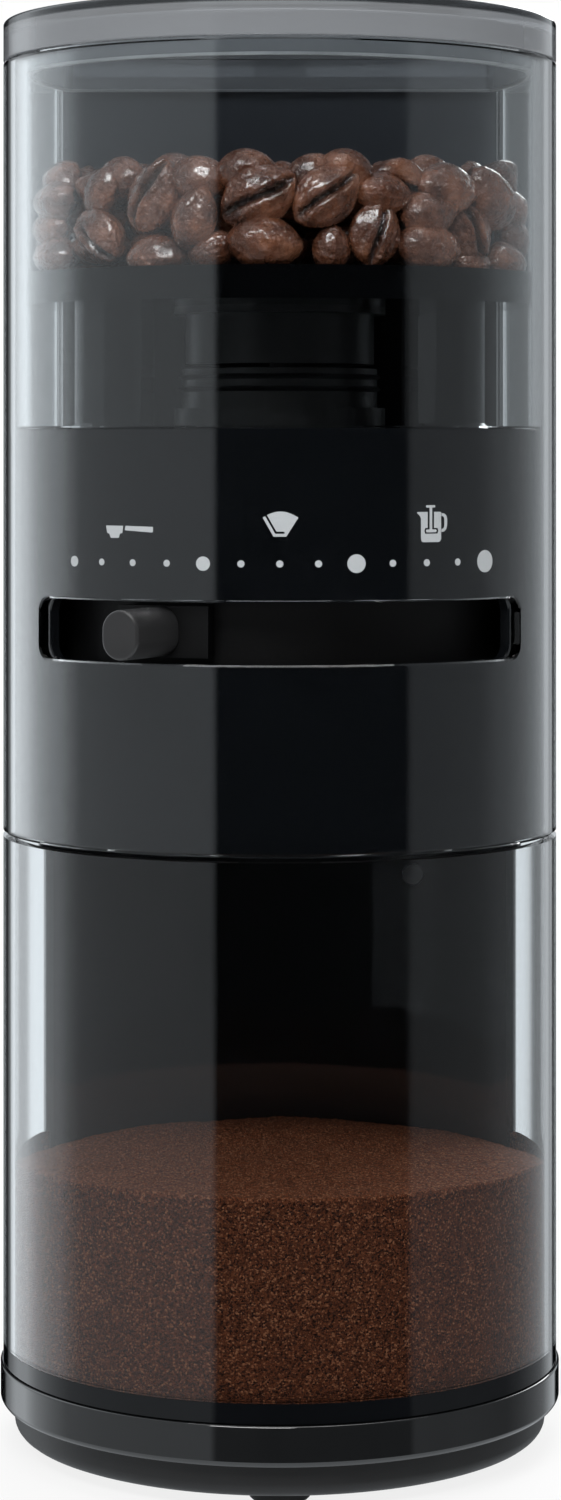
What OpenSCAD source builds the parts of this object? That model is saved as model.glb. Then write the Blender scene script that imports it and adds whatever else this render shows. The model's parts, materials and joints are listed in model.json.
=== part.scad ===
// Conical burr coffee grinder: a round tower with a clear bean hopper on top, a grinding head
// with a setting lever in a slot, and a clear bin for the ground coffee below. Millimetres,
// +Z up, the burr axis is the Z axis, the feet stand on z = 0 and -Y is the front.

/* [Body] */
// Outer radius of the tower
body_r = 60; // [56:0.5:66]
// Wall of the outer shells and of the clear sleeve
shell_t = 2.4; // [2:0.1:3]
// Wall of the inner liner and of the front panel
liner_t = 2.3; // [1.8:0.1:3]
// Distance of the rear spine's front face behind the axis
spine_y = 25; // [24:0.5:27]
// Clearance between pieces that only sit beside each other
fit_gap = 0.3; // [0.2:0.05:0.4]

/* [Base] */
// Height that the feet stand out below the base
foot_h = 2.5; // [1.5:0.5:5]
// Radius of one foot
foot_r = 6.3; // [5:0.1:8]
// Distance of the feet from the axis
foot_ring_r = 47; // [40:0.5:48]
// Height of the matt base pan
pan_h = 7; // [5:0.5:12]
// How far the base pan stands in from the tower
pan_inset = 2.5; // [1:0.5:3.5]
// Height of the glossy base ring
ring_h = 8.5; // [7:0.5:14]
// How far the base ring stands out past the tower
ring_flare = 0.6; // [0:0.1:1.5]

/* [Bin] */
// Height of the bin for the ground coffee
bin_h = 112.9; // [90:1:130]
// Thickness of the bin's black sole
sole_t = 2; // [1.5:0.1:3]
// Height of the sole's rim round the foot of the bin
sole_rim_h = 4.1; // [3.5:0.1:6]
// Air gap between the bin's brim and the head above it
bin_air = 1; // [0.8:0.1:2]
// How far the bin slides out
bin_travel = 130; // [100:5:160]

/* [Grinding head] */
// Height of the columns between the frame plate and the gearbox
column_h = 50; // [48:0.5:56]
// Radius of one frame column
column_r = 3.5; // [3:0.1:4]
// Thickness of the frame plate over the bin
plate_t = 3; // [2.5:0.5:4]
// Distance of the lever slot's centre line below the top of the setting hub
slot_drop = 38.5; // [36:0.5:40]
// Height of the lever slot
slot_h = 12.6; // [11.5:0.1:14]
// Half angle of the lever slot, from the front
slot_half_angle = 56.8; // [54:0.1:60]
// Corner radius of the lever slot
slot_corner_r = 3.3; // [2:0.1:4]
// Height of the pillars between the head and the hopper floor
pillar_h = 26.4; // [24:0.2:32]
// Radius of one pillar
pillar_r = 8.5; // [7:0.5:9]
// Distance of the pillars from the centre plane
pillar_x = 35; // [33:0.5:36]
// Distance of the pillars in front of the axis
pillar_y = 12; // [10:0.5:16]

/* [Hopper] */
// Thickness of the hopper floor at its rim
floor_t = 6.8; // [6:0.2:9]
// Depth of the funnel in the hopper floor
funnel_depth = 4.8; // [3:0.2:5]
// Inner radius of the feed throat
throat_r = 19; // [17.5:0.25:19.5]
// Height of the hopper above its floor
hopper_h = 45.8; // [35:1:70]

/* [Lid] */
// Height of the lid
lid_h = 8.7; // [7:0.1:14]
// Thickness of the lid's top
lid_top_t = 3.2; // [2.5:0.1:4]
// Depth of the lid's locating collar in the hopper
collar_depth = 3.2; // [2.5:0.1:6]
// Rounding of the lid's upper edge
lid_round_r = 2; // [1:0.1:2.5]

/* [Grind setting] */
// Outer radius of the setting ring
setting_r = 50; // [49:0.1:50.5]
// Wall of the setting ring
setting_t = 3.5; // [2.5:0.1:3.6]
// Height of the setting ring
setting_h = 50; // [47:0.5:52]
// Thickness of the setting hub's web
web_t = 3; // [2.5:0.1:3.5]
// Lever position at rest, from the front
lever_angle = -26.5; // [-46:0.5:46]
// Angle that the lever's block covers on the ring
lever_block_angle = 22; // [16:0.5:24]
// Width of the lever's peg
peg_w = 8.3; // [7:0.1:9]
// Height of the lever's peg
peg_h = 10.2; // [9.5:0.1:10.8]
// How far the peg stands out of the tower
peg_out = 12; // [8:0.5:16]
// Chamfer of the peg's face
peg_chamfer = 0.7; // [0.3:0.1:1.2]

/* [Burrs] */
// Outer radius of the ring burr
burr_r = 19; // [18.5:0.1:19.2]
// Height of the ring burr
burr_h = 15; // [13:0.5:16]
// Wall of the burr carrier
carrier_t = 3.9; // [3.5:0.1:4.2]
// Height of the carrier's neck above the upper plate
neck_h = 13; // [11:0.5:13.5]
// Working gap between the two burrs
burr_gap = 0.5; // [0.4:0.05:0.8]
// Number of teeth on each burr
burr_teeth = 24; // [12:2:36]
// Depth of the burr teeth
tooth_depth = 0.9; // [0.5:0.1:1.2]
// Number of coarse blades on the cone burr
blade_count = 6; // [4:1:8]

/* [Drive] */
// Radius of the drive shaft
shaft_r = 3; // [2.5:0.1:3.5]
// Running clearance of shafts in their bearings
running_gap = 0.05; // [0.02:0.01:0.1]
// Gear module
gear_m = 1; // [0.95:0.01:1.02]
// Teeth of the output gear
output_teeth = 44; // [42:1:45]
// Teeth of the idler's large gear
idler_teeth = 30; // [28:1:31]
// Teeth of the idler's pinion and of the motor pinion
pinion_teeth = 10; // [10:1:11]
// Width of the gears
gear_w = 5; // [4:0.1:5.5]
// Direction of the idler from the drive shaft
idler_dir = 100; // [96:1:106]
// Direction of the motor from the idler
motor_dir = -47; // [-52:1:-42]
// Radius of the motor
motor_r = 18; // [16:0.5:18.5]
// Inner radius of the grinding chamber
chamber_r = 38; // [36:0.5:39]
// Height inside the grinding chamber
chamber_h = 4.6; // [4.4:0.1:5.2]
// Half width of the chute for the ground coffee
chute_w = 7; // [5:0.5:9]
// Depth of the chute from front to back
chute_d = 9; // [8:0.5:9]

/* [Controls] */
// Radius of the start button
button_r = 7; // [5:0.5:9]
// How far the start button stands out
button_out = 1.6; // [1.2:0.1:3]
// Travel of the start button
button_travel = 1.5; // [0.5:0.1:1.5]
// Direction of the start button, from the right towards the back
button_dir = 50; // [42:1:62]
// Radius of the bore in the cable bushing
cable_r = 3.5; // [3:0.1:4.5]
// Height of the cable bushing above the base ring
cable_up = 14; // [12:1:30]

/* [Hidden] */
$fn = 96;
eps = 0.1;
big = 400;

// Colours
black = [0.03, 0.03, 0.035];
matt_black = [0.07, 0.07, 0.075];
dark_grey = [0.20, 0.20, 0.21];
clear = [0.75, 0.80, 0.82, 0.3];
smoky = [0.35, 0.37, 0.38, 0.5];
steel = [0.62, 0.63, 0.65];
brass = [0.72, 0.58, 0.30];
board_green = [0.10, 0.35, 0.18];
rubber = [0.05, 0.05, 0.05];

// Base
base_t = 2.5;                          // floor of the pan
pan_r = body_r - pan_inset;
pan_z = foot_h;
pan_top = pan_z + pan_h;
ring_z = pan_top;
deck_z = ring_z + ring_h;
deck_t = 2;
ring_r = body_r + ring_flare;
foot_seat = 1;
pan_round = 3;
lip_h = 2.5;                           // locating lip of the pan in the ring
lip_t = 2.2;
ring_in_r = pan_r - 1.5;
screw_r = 1.6;
screw_head_r = 3.2;
screw_head_h = 1.8;
base_screw_ring = 36;

// Bin
bin_z = deck_z + fit_gap;
bin_top = bin_z + bin_h;
bin_back_y = spine_y - 0.7;
bin_step = 2;                          // how far the bin's foot steps in for the sole's rim
bin_floor_t = 2;

// Head, from the bin upwards
head_z = bin_top + bin_air;
plate_z = head_z + 1.8;
plate_top = plate_z + plate_t;
panel_z = head_z + fit_gap;
liner_r = body_r - shell_t - fit_gap;  // outer radius of the liner and the front panel
inner_r = liner_r - liner_t;
core_r = inner_r - 0.2;                // pieces that fill the inside
core_y = spine_y - fit_gap;
gearbox_z = plate_top + column_h;
gearbox_floor = 2;
gearbox_wall = 1.6;
gear_air = 0.8;
layer_a = gearbox_z + gearbox_floor + gear_air;        // motor pinion and idler gear
layer_b = layer_a + gear_w + 1;                        // idler pinion and output gear
cover_z = layer_b + gear_w + 1;
cover_t = 2.4;
chamber_z = cover_z + cover_t;
chamber_floor = 2;
chamber_wall = 2;
chamber_floor_z = chamber_z + chamber_floor;
chamber_cover_z = chamber_floor_z + chamber_h;
chamber_cover_t = 1.7;
hub_z = chamber_cover_z + chamber_cover_t + fit_gap;   // underside of the setting hub's web
hub_top = hub_z + web_t;
upper_plate_z = hub_top + 0.6;
upper_plate_t = 2.4;
panel_top = upper_plate_z + upper_plate_t;
floor_z = panel_top + pillar_h;
floor_top = floor_z + floor_t;
body_top = floor_top + hopper_h;
slot_z = hub_top - slot_drop;

// Lid
lid_z = body_top + fit_gap;
lid_top = lid_z + lid_h;
lid_skirt_t = 2.6;
tab_w = 12;
tab_t = 2.2;
tab_y = 44;
tab_depth = 7;

// Burrs
carrier_r = burr_r + carrier_t;
seat_gap = 0.1;
sweeper_z = chamber_floor_z + 0.4;
sweeper_t = 1.6;
cone_z = sweeper_z + sweeper_t;
carrier_z = cone_z + 0.8;
ring_burr_z = carrier_z;
ring_burr_top = ring_burr_z + burr_h;
neck_top = panel_top + neck_h;
neck_r = burr_r + 2.2;
burr_foot_r = burr_r - 2;              // inner radius of the ring burr at its lower edge
burr_waist_r = burr_foot_r - 1.8;
burr_mouth_r = burr_foot_r - 0.4;
waist_h = 4.5;                         // height of the fine toothed lower zone
cone_h = ring_burr_top - cone_z;
cone_foot_r = burr_foot_r - burr_gap;
cone_waist_r = burr_waist_r - burr_gap;
cone_top_r = 6.5;
nut_h = 4;
nut_r = 4.6;
stub_r = 2.2;
shaft_top = floor_z - 3.4;

// Drive
idler_dist = gear_m * (output_teeth + pinion_teeth) / 2;
motor_dist = gear_m * (idler_teeth + pinion_teeth) / 2;
idler_x = idler_dist * cos(idler_dir);
idler_y = idler_dist * sin(idler_dir);
motor_x = idler_x + motor_dist * cos(motor_dir);
motor_y = idler_y + motor_dist * sin(motor_dir);
pin_r = 2;
motor_shaft_r = 1.6;
bush_r = 5.5;
motor_z = plate_top + 2;
motor_top = gearbox_z - 1;
can_t = 1.5;
mount_r = 3.2;
mount_ring = 12;
gearbox_main_r = gear_m * (output_teeth / 2 + 1) + 1 + gearbox_wall;
gearbox_idler_r = gear_m * (idler_teeth / 2 + 1) + 0.8 + gearbox_wall;
columns = [[-19, -11], [16, -14], [idler_x - 9, idler_y + 8]];

// Chute
chute_t = 1.5;
chute_front = chamber_r - 0.5;
chute_back = chute_front - chute_d;
chute_z = plate_z - 1;

// Lever
block_r = inner_r - 0.5;
block_h = peg_h + 0.4;
peg_face_r = body_r + peg_out;

// Controls and electrics
button_z = panel_top + 13;
button_in = 5;
bezel_t = 1.6;
pin_x = 30;
pin_z = bin_top - 12;
bin_pin_r = 2.2;
bin_pin_l = 9;
pin_travel = 1.5;
cable_z = deck_z + cable_up;
bushing_out = 4.3;
bushing_flange_r = cable_r + 5;
bushing_neck_r = cable_r + 2.6;
board_w = 60;
board_h = 66;
board_t = 1.6;
board_z = deck_z + 22;
board_y = spine_y + shell_t + 6.4;
rear_boss_r = 5.6;
rear_boss_h = 16;
clamp_y = body_r - 13.7;
cable_window_w = 28;
cable_window_d = body_r - 42;
rotor_z = motor_z + 11;
rotor_h = motor_top - motor_z - 23;

// ---- shapes that repeat -------------------------------------------------------------------

// A round prism whose back is cut flat at y_cut
module d_prism(r, y_cut, z_lo, z_hi) {
    intersection() {
        translate([0, 0, z_lo]) cylinder(r = r, h = z_hi - z_lo);
        translate([-r - 1, -r - 1, z_lo - 1]) cube([2 * r + 2, r + 1 + y_cut, z_hi - z_lo + 2]);
    }
}

// The part of a round prism that lies behind y_cut
module rear_prism(r, y_cut, z_lo, z_hi) {
    intersection() {
        translate([0, 0, z_lo]) cylinder(r = r, h = z_hi - z_lo);
        translate([-r - 1, y_cut, z_lo - 1]) cube([2 * r + 2, r + 1, z_hi - z_lo + 2]);
    }
}

// A round wall from the left to the right end of the spine, open at the back
module front_wall(r_out, t, z_lo, z_hi) {
    difference() {
        d_prism(r_out, core_y, z_lo, z_hi);
        translate([0, 0, z_lo - eps]) cylinder(r = r_out - t, h = z_hi - z_lo + 2 * eps);
    }
}

// A sector of a ring, its angles counted from the front towards the right
module sector(r_in, r_out, a_lo, a_hi, z_lo, z_hi) {
    rotate([0, 0, a_lo - 90])
        rotate_extrude(angle = a_hi - a_lo)
            translate([r_in, z_lo]) square([r_out - r_in, z_hi - z_lo]);
}

// The lever slot, as a solid that cuts a round wall
module lever_slot(r_in, r_out) {
    corner_angle = atan(slot_corner_r / body_r);
    z_lo = slot_z - slot_h / 2;
    z_hi = slot_z + slot_h / 2;
    reach = slot_half_angle - corner_angle;
    sector(r_in, r_out, -reach, reach, z_lo, z_hi);
    sector(r_in, r_out, -slot_half_angle, slot_half_angle, z_lo + slot_corner_r, z_hi - slot_corner_r);
    for (side = [-1, 1], z = [z_lo + slot_corner_r, z_hi - slot_corner_r])
        rotate([0, 0, side * reach]) translate([0, -r_in, z])
            rotate([90, 0, 0]) cylinder(r = slot_corner_r, h = r_out - r_in);
}

module tube(r_out, r_in, z_lo, z_hi) {
    difference() {
        translate([0, 0, z_lo]) cylinder(r = r_out, h = z_hi - z_lo);
        translate([0, 0, z_lo - eps]) cylinder(r = r_in, h = z_hi - z_lo + 2 * eps);
    }
}

// A screw that points up, with its head below z = 0
module screw(l) {
    translate([0, 0, -screw_head_h]) cylinder(r = screw_head_r, h = screw_head_h);
    cylinder(r = screw_r, h = l);
}

// The outline of a spur gear with one tooth centred on +X
module gear_outline(teeth) {
    pitch = 360 / teeth;
    tip_r = gear_m * (teeth / 2 + 1) - 0.05;
    root_r = gear_m * (teeth / 2 - 1.25);
    polygon([for (i = [0:teeth - 1], p = [[root_r, -0.28], [tip_r, -0.1], [tip_r, 0.1], [root_r, 0.28]])
        p[0] * [cos((i + p[1]) * pitch), sin((i + p[1]) * pitch)]]);
}

module gear(teeth) {
    linear_extrude(gear_w) gear_outline(teeth);
}

// ---- base ---------------------------------------------------------------------------------

module foot_places() {
    for (a = [0:90:270]) rotate([0, 0, a]) translate([0, -foot_ring_r, 0]) children();
}

module feet() {
    color(rubber) foot_places() {
        cylinder(r1 = foot_r - 0.6, r2 = foot_r, h = 0.6);
        translate([0, 0, 0.6]) cylinder(r = foot_r, h = foot_h + foot_seat - 0.6 - 0.05);
    }
}

module base_screw_places() {
    for (a = [45:90:315]) rotate([0, 0, a]) translate([0, -base_screw_ring, 0]) children();
}

module base_pan() {
    lip_r = ring_in_r - fit_gap;
    arc = [for (a = [-90:15:0]) [pan_r - pan_round + pan_round * cos(a), pan_z + pan_round + pan_round * sin(a)]];
    color(matt_black) difference() {
        union() {
            rotate_extrude() polygon(concat([[0, pan_z]], arc, [
                [pan_r, pan_top], [lip_r, pan_top], [lip_r, pan_top + lip_h],
                [lip_r - lip_t, pan_top + lip_h], [lip_r - lip_t, pan_z + base_t], [0, pan_z + base_t],
            ]));
            base_screw_places() translate([0, 0, pan_z]) cylinder(r = screw_head_r + 1.6, h = pan_h);
        }
        foot_places() translate([0, 0, pan_z - 1]) cylinder(r = foot_r + seat_gap, h = foot_seat + 1);
        base_screw_places() {
            translate([0, 0, pan_z - 1]) cylinder(r = screw_head_r + 0.2, h = 1 + 2.2);
            translate([0, 0, pan_z]) cylinder(r = screw_r + 0.2, h = big);
        }
    }
}

module base_screws() {
    color(steel) base_screw_places() translate([0, 0, pan_z + 2.2]) screw(deck_z - deck_t - pan_z - 3.4);
}

module base_ring() {
    boss_z = pan_top + 0.2;
    color(black) difference() {
        union() {
            rotate_extrude() polygon([
                [0, deck_z - deck_t], [0, deck_z], [ring_r - 0.5, deck_z], [ring_r, deck_z - 0.5],
                [ring_r, ring_z + 4], [ring_r - 0.6, ring_z + 1.6], [pan_r + 1, ring_z],
                [ring_in_r, ring_z], [ring_in_r, deck_z - deck_t],
            ]);
            base_screw_places() translate([0, 0, boss_z]) cylinder(r = screw_r + 2, h = deck_z - deck_t - boss_z + 0.5);
        }
        base_screw_places() translate([0, 0, boss_z - 1]) cylinder(r = screw_r + 0.1, h = deck_z - deck_t - boss_z);
        translate([-cable_window_w / 2, spine_y + shell_t + 1, deck_z - deck_t - 1])
            cube([cable_window_w, cable_window_d, deck_t + 2]);
        rear_screw_places() translate([0, 0, -deck_t - 1]) cylinder(r = screw_r + 0.2, h = deck_t + 2);
    }
}

// ---- spine --------------------------------------------------------------------------------

module back_wall() {
    window_half = body_r - 12;
    color(black) {
        difference() {
            intersection() {
                translate([0, 0, deck_z]) cylinder(r = body_r - shell_t - 0.1, h = body_top - shell_t - 0.1 - deck_z);
                translate([-body_r, spine_y, 0]) cube([2 * body_r, shell_t, big]);
            }
            translate([-window_half, spine_y - 1, plate_z])
                cube([2 * window_half, shell_t + 2, upper_plate_z - plate_z]);
            translate([pin_x, spine_y - 1, pin_z]) rotate([-90, 0, 0]) cylinder(r = bin_pin_r + 0.3, h = shell_t + 2);
        }
        for (x = [-1, 1], z = [4, 0.8 * board_h])
            translate([x * (board_w / 2 - 4), spine_y + shell_t - 0.05, board_z + z])
                rotate([-90, 0, 0]) cylinder(r = 3, h = board_y - spine_y - shell_t);
    }
}

module rear_shell() {
    color(black) difference() {
        rear_prism(body_r, spine_y, deck_z, body_top);
        difference() {
            translate([0, 0, deck_z - 1]) cylinder(r = body_r - shell_t, h = body_top - shell_t - deck_z + 1);
            rear_screw_places() cylinder(r = rear_boss_r, h = rear_boss_h);
        }
        // air slots over the motor
        for (a = [-30:7.5:30]) rotate([0, 0, a])
            translate([-1.2, body_r - shell_t - 1, plate_z + 6]) cube([2.4, shell_t + 2, 22]);
        translate([0, body_r - shell_t - 1, cable_z]) rotate([-90, 0, 0]) cylinder(r = bushing_neck_r + seat_gap, h = 6);
        rotate([0, 0, button_dir]) translate([body_r - shell_t - 1.5, 0, button_z])
            rotate([0, 90, 0]) cylinder(r = button_r + bezel_t + 0.2, h = 6);
        translate([-tab_w / 2 - 0.5, tab_y - 0.5, body_top - shell_t - 1]) cube([tab_w + 1, tab_t + 1, shell_t + 2]);
        rear_screw_places() translate([0, 0, -1]) cylinder(r = screw_r + 0.1, h = rear_boss_h - 2);
    }
}

module rear_screw_places() {
    for (side = [-1, 1]) rotate([0, 0, side * 49]) translate([0, ring_in_r - 3.6, deck_z]) children();
}

module rear_screws() {
    color(steel) rear_screw_places() translate([0, 0, -deck_t - 0.05]) screw(rear_boss_h - 3);
}

module cable_bushing() {
    color(rubber) translate([0, body_r, cable_z]) rotate([-90, 0, 0]) difference() {
        union() {
            translate([0, 0, -shell_t - 4]) cylinder(r = bushing_flange_r - 1.5, h = 3.3);
            translate([0, 0, -shell_t - 1]) cylinder(r = bushing_neck_r, h = shell_t + 2);
            translate([0, 0, 0.3]) cylinder(r1 = bushing_flange_r, r2 = bushing_flange_r - 1.4, h = bushing_out - 0.3);
        }
        translate([0, 0, -20]) cylinder(r = cable_r, h = 40);
    }
}

module cable_clamp() {
    clamp_z = cable_z - cable_r - 1.4;
    color(matt_black) difference() {
        translate([-11, clamp_y - 3.5, clamp_z - 2.5]) cube([22, 7, 2.4]);
        for (x = [-8, 8]) translate([x, clamp_y, clamp_z - 4]) cylinder(r = 1.2, h = 6);
    }
    color(matt_black) translate([-9, clamp_y - 2, deck_z]) cube([18, 4, clamp_z - 2.5 - deck_z]);
}

// ---- head and hopper ----------------------------------------------------------------------

module outer_sleeve() {
    color(clear) difference() {
        front_wall(body_r, shell_t, head_z, body_top);
        lever_slot(body_r - shell_t - 2, body_r + 2);
    }
}

module front_panel() {
    color(black) difference() {
        front_wall(liner_r, liner_t, panel_z, panel_top);
        lever_slot(inner_r - 2, body_r);
    }
}

module hopper_liner() {
    color(clear) front_wall(liner_r, liner_t, panel_top + 0.2, body_top);
}

module hopper_floor() {
    color(black) difference() {
        d_prism(core_r, core_y, floor_z, floor_top);
        translate([0, 0, floor_top - funnel_depth])
            cylinder(r1 = throat_r + 1.5, r2 = core_r - 3, h = funnel_depth + 0.001);
        translate([0, 0, floor_z - 1]) cylinder(r = throat_r, h = floor_t);
        pillar_places() translate([0, 0, floor_z - 1]) cylinder(r = screw_r + 0.15, h = 3.2);
    }
}

module finger_guard() {
    guard_z = floor_top - funnel_depth - 1.4;
    color(dark_grey) {
        tube(throat_r - 0.1, throat_r - 1.7, guard_z - 1.8, guard_z + 1.4);
        for (a = [0:60:120]) rotate([0, 0, a])
            translate([-throat_r + 1, -0.9, guard_z - 0.4]) cube([2 * throat_r - 2, 1.8, 1.6]);
    }
}

module feed_throat() {
    color(smoky) difference() {
        union() {
            tube(throat_r + 1.5, throat_r, neck_top + 1, floor_z);
            tube(throat_r + 4, throat_r, floor_z - 1.6, floor_z);
        }
    }
}

module pillar_places() {
    for (side = [-1, 1]) translate([side * pillar_x, -pillar_y, 0]) children();
}

module pillars() {
    color(black) pillar_places() difference() {
        union() {
            translate([0, 0, panel_top]) cylinder(r = pillar_r, h = pillar_h);
            translate([0, 0, panel_top]) cylinder(r1 = pillar_r + 1.2, r2 = pillar_r, h = 1.2);
        }
        translate([0, 0, floor_z - 8]) cylinder(r = screw_r + 0.05, h = 9);
        translate([0, 0, panel_top - 1]) cylinder(r = screw_r + 0.05, h = 9);
    }
}

module pillar_screws() {
    color(steel) pillar_places() {
        translate([0, 0, upper_plate_z + 0.01]) cylinder(r = screw_r, h = 8);
        translate([0, 0, floor_z - 6]) cylinder(r = screw_r, h = 8);
    }
}

module upper_plate() {
    color(black) difference() {
        d_prism(core_r, core_y, upper_plate_z, panel_top);
        translate([0, 0, upper_plate_z - 1]) cylinder(r = carrier_r + 0.6, h = upper_plate_t + 2);
        pillar_places() translate([0, 0, upper_plate_z - 1]) cylinder(r = screw_r + 0.15, h = upper_plate_t + 2);
    }
}

// ---- frame, gearbox and chamber -----------------------------------------------------------

module frame_plate() {
    color(matt_black) difference() {
        union() {
            d_prism(core_r, core_y, plate_z, plate_top);
            intersection() {
                translate([0, 0, plate_z]) cylinder(r = setting_r - 3, h = plate_t);
                translate([-45, -1, 0]) cube([90, 80, big]);
            }
        }
        chute_outline(chute_t + 0.2, plate_z - 1, plate_top + 1);
        for (c = columns) translate([c[0], c[1], plate_z - 1]) cylinder(r = screw_r + 0.15, h = plate_t + 2);
        for (c = columns) translate([c[0], c[1], plate_z - 1]) cylinder(r = screw_head_r + 0.2, h = 1 + 1.9);
    }
}

module frame_columns() {
    color(matt_black) for (c = columns) translate([c[0], c[1], 0]) difference() {
        union() {
            translate([0, 0, plate_top]) cylinder(r = column_r, h = column_h);
            translate([0, 0, plate_top]) cylinder(r1 = column_r + 1.2, r2 = column_r, h = 4);
        }
        translate([0, 0, plate_top - 1]) cylinder(r = screw_r + 0.05, h = 11);
    }
}

module frame_screws() {
    color(steel) for (c = columns) translate([c[0], c[1], plate_z + 1.85]) screw(8);
}

module gearbox_outline(inset) {
    circle(r = gearbox_main_r - inset);
    translate([idler_x, idler_y]) circle(r = gearbox_idler_r - inset);
}

module gearbox_housing() {
    color(dark_grey) difference() {
        translate([0, 0, gearbox_z]) linear_extrude(cover_z - gearbox_z) gearbox_outline(0);
        translate([0, 0, gearbox_z + gearbox_floor]) linear_extrude(big) gearbox_outline(gearbox_wall);
        translate([0, 0, gearbox_z - 1]) cylinder(r = bush_r + 0.02, h = 4);
        translate([idler_x, idler_y, gearbox_z - 1]) cylinder(r = pin_r + 0.02, h = 4);
        translate([motor_x, motor_y, gearbox_z - 1]) cylinder(r = motor_shaft_r + 1.2, h = 4);
    }
}

module gearbox_cover() {
    color(dark_grey) difference() {
        translate([0, 0, cover_z]) linear_extrude(cover_t) gearbox_outline(0);
        translate([0, 0, cover_z - 1]) cylinder(r = bush_r + 0.02, h = cover_t + 2);
        translate([idler_x, idler_y, cover_z - 1]) cylinder(r = pin_r + 0.02, h = 2.5);
    }
}

module shaft_bearings() {
    color(brass) {
        tube(bush_r, shaft_r + running_gap, gearbox_z, gearbox_z + gearbox_floor);
        tube(bush_r, shaft_r + running_gap, cover_z, chamber_floor_z - 0.2);
    }
}

module idler_pin() {
    color(steel) translate([idler_x, idler_y, gearbox_z + 0.1]) cylinder(r = pin_r, h = cover_z + 1.3 - gearbox_z);
}

module chute_outline(grow, z_lo, z_hi) {
    translate([-chute_w - grow, -chute_front - grow, z_lo])
        cube([2 * (chute_w + grow), chute_d + 2 * grow, z_hi - z_lo]);
}

module grinding_chamber() {
    color(dark_grey) difference() {
        translate([0, 0, chamber_z]) cylinder(r = chamber_r + chamber_wall, h = chamber_cover_z - chamber_z);
        translate([0, 0, chamber_floor_z]) cylinder(r = chamber_r, h = big);
        translate([0, 0, chamber_z - 1]) cylinder(r = bush_r + 0.02, h = chamber_floor + 2);
        chute_outline(0, chamber_z - 1, chamber_floor_z + 1);
    }
}

module chamber_cover() {
    color(dark_grey) tube(chamber_r + chamber_wall, carrier_r + 3.6, chamber_cover_z, chamber_cover_z + chamber_cover_t);
}

module grounds_chute() {
    color(matt_black) difference() {
        union() {
            chute_outline(chute_t, chute_z, chamber_z);
            intersection() {
                chute_outline(chute_t + 2, chamber_z - 2, chamber_z);
                translate([0, 0, chamber_z - 3]) cylinder(r = chamber_r + 5, h = 4);
                translate([-big / 2, -big, 0]) cube([big, big - gearbox_main_r - 0.3, big]);
            }
        }
        chute_outline(0, chute_z - 1, chamber_z + 1);
    }
}

// ---- motor --------------------------------------------------------------------------------

module at_motor() {
    translate([motor_x, motor_y, 0]) children();
}

module mount_places() {
    at_motor() for (a = [0:120:240]) rotate([0, 0, a + 30]) translate([mount_ring, 0, 0]) children();
}

module motor_can() {
    color(steel) at_motor() difference() {
        union() {
            translate([0, 0, motor_z]) cylinder(r = motor_r, h = motor_top - motor_z - 2);
            translate([0, 0, motor_top - 2]) cylinder(r1 = motor_r, r2 = motor_r - 2, h = 1);
            translate([0, 0, motor_top - 2]) cylinder(r = 6, h = 2);
        }
        translate([0, 0, motor_z + can_t]) cylinder(r = motor_r - can_t, h = motor_top - motor_z - 2 * can_t - 2);
        translate([0, 0, motor_z - 1]) cylinder(r = motor_shaft_r + running_gap, h = big);
        for (a = [0:60:300]) rotate([0, 0, a]) translate([10, 0, motor_top - 5]) cylinder(r = 2, h = 8);
    }
}

module motor_brushes() {
    color(brass) at_motor() for (side = [-1, 1])
        translate([side * 8.5 - 3.4, -2, motor_z + can_t]) cube([6.8, 4, 5]);
}

module motor_mounts() {
    color(rubber) mount_places() translate([0, 0, plate_top]) cylinder(r = mount_r, h = motor_z - plate_top);
}

module motor_rotor() {
    color(steel) at_motor() {
        difference() {
            translate([0, 0, rotor_z]) cylinder(r = motor_r - can_t - 1.2, h = rotor_h);
            for (a = [0:45:315]) rotate([0, 0, a])
                translate([motor_r - 7, -1, rotor_z - 1]) cube([8, 2, rotor_h + 2]);
            translate([0, 0, rotor_z - 1]) cylinder(r = motor_shaft_r, h = rotor_h + 2);
        }
    }
    color(brass) at_motor() tube(4.6, motor_shaft_r, motor_z + can_t + 0.6, rotor_z - 0.2);
}

module motor_pinion() {
    color(steel) at_motor() {
        translate([0, 0, motor_z + 0.2]) cylinder(r = motor_shaft_r, h = layer_a - motor_z);
        translate([0, 0, layer_a]) rotate([0, 0, motor_dir + 180 + 180 / pinion_teeth]) gear(pinion_teeth);
    }
}

// ---- drive --------------------------------------------------------------------------------

module idler_gear() {
    color(steel) translate([idler_x, idler_y, 0]) difference() {
        union() {
            translate([0, 0, layer_a]) rotate([0, 0, motor_dir]) gear(idler_teeth);
            translate([0, 0, layer_a + 1]) cylinder(r = gear_m * (pinion_teeth / 2 - 1.6), h = gear_w + 2);
            translate([0, 0, layer_b]) rotate([0, 0, idler_dir + 180 + 180 / pinion_teeth]) gear(pinion_teeth);
        }
        translate([0, 0, layer_a - 1]) cylinder(r = pin_r + running_gap, h = 2 * gear_w + 3);
    }
}

module output_gear() {
    color(brass) difference() {
        translate([0, 0, layer_b]) rotate([0, 0, idler_dir]) gear(output_teeth);
        translate([0, 0, layer_b - 1]) cylinder(r = shaft_r + 0.02, h = gear_w + 2);
        for (a = [0:60:300]) rotate([0, 0, a]) translate([12.5, 0, layer_b - 1]) cylinder(r = 4, h = gear_w + 2);
    }
}

module drive_shaft() {
    color(steel) {
        translate([0, 0, gearbox_z + 0.1]) cylinder(r = shaft_r, h = ring_burr_top - gearbox_z - 0.1);
        translate([0, 0, ring_burr_top]) cylinder(r = stub_r, h = shaft_top - ring_burr_top - 0.8);
        translate([0, 0, shaft_top - 0.8]) cylinder(r1 = stub_r, r2 = stub_r - 0.8, h = 0.8);
    }
}

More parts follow.
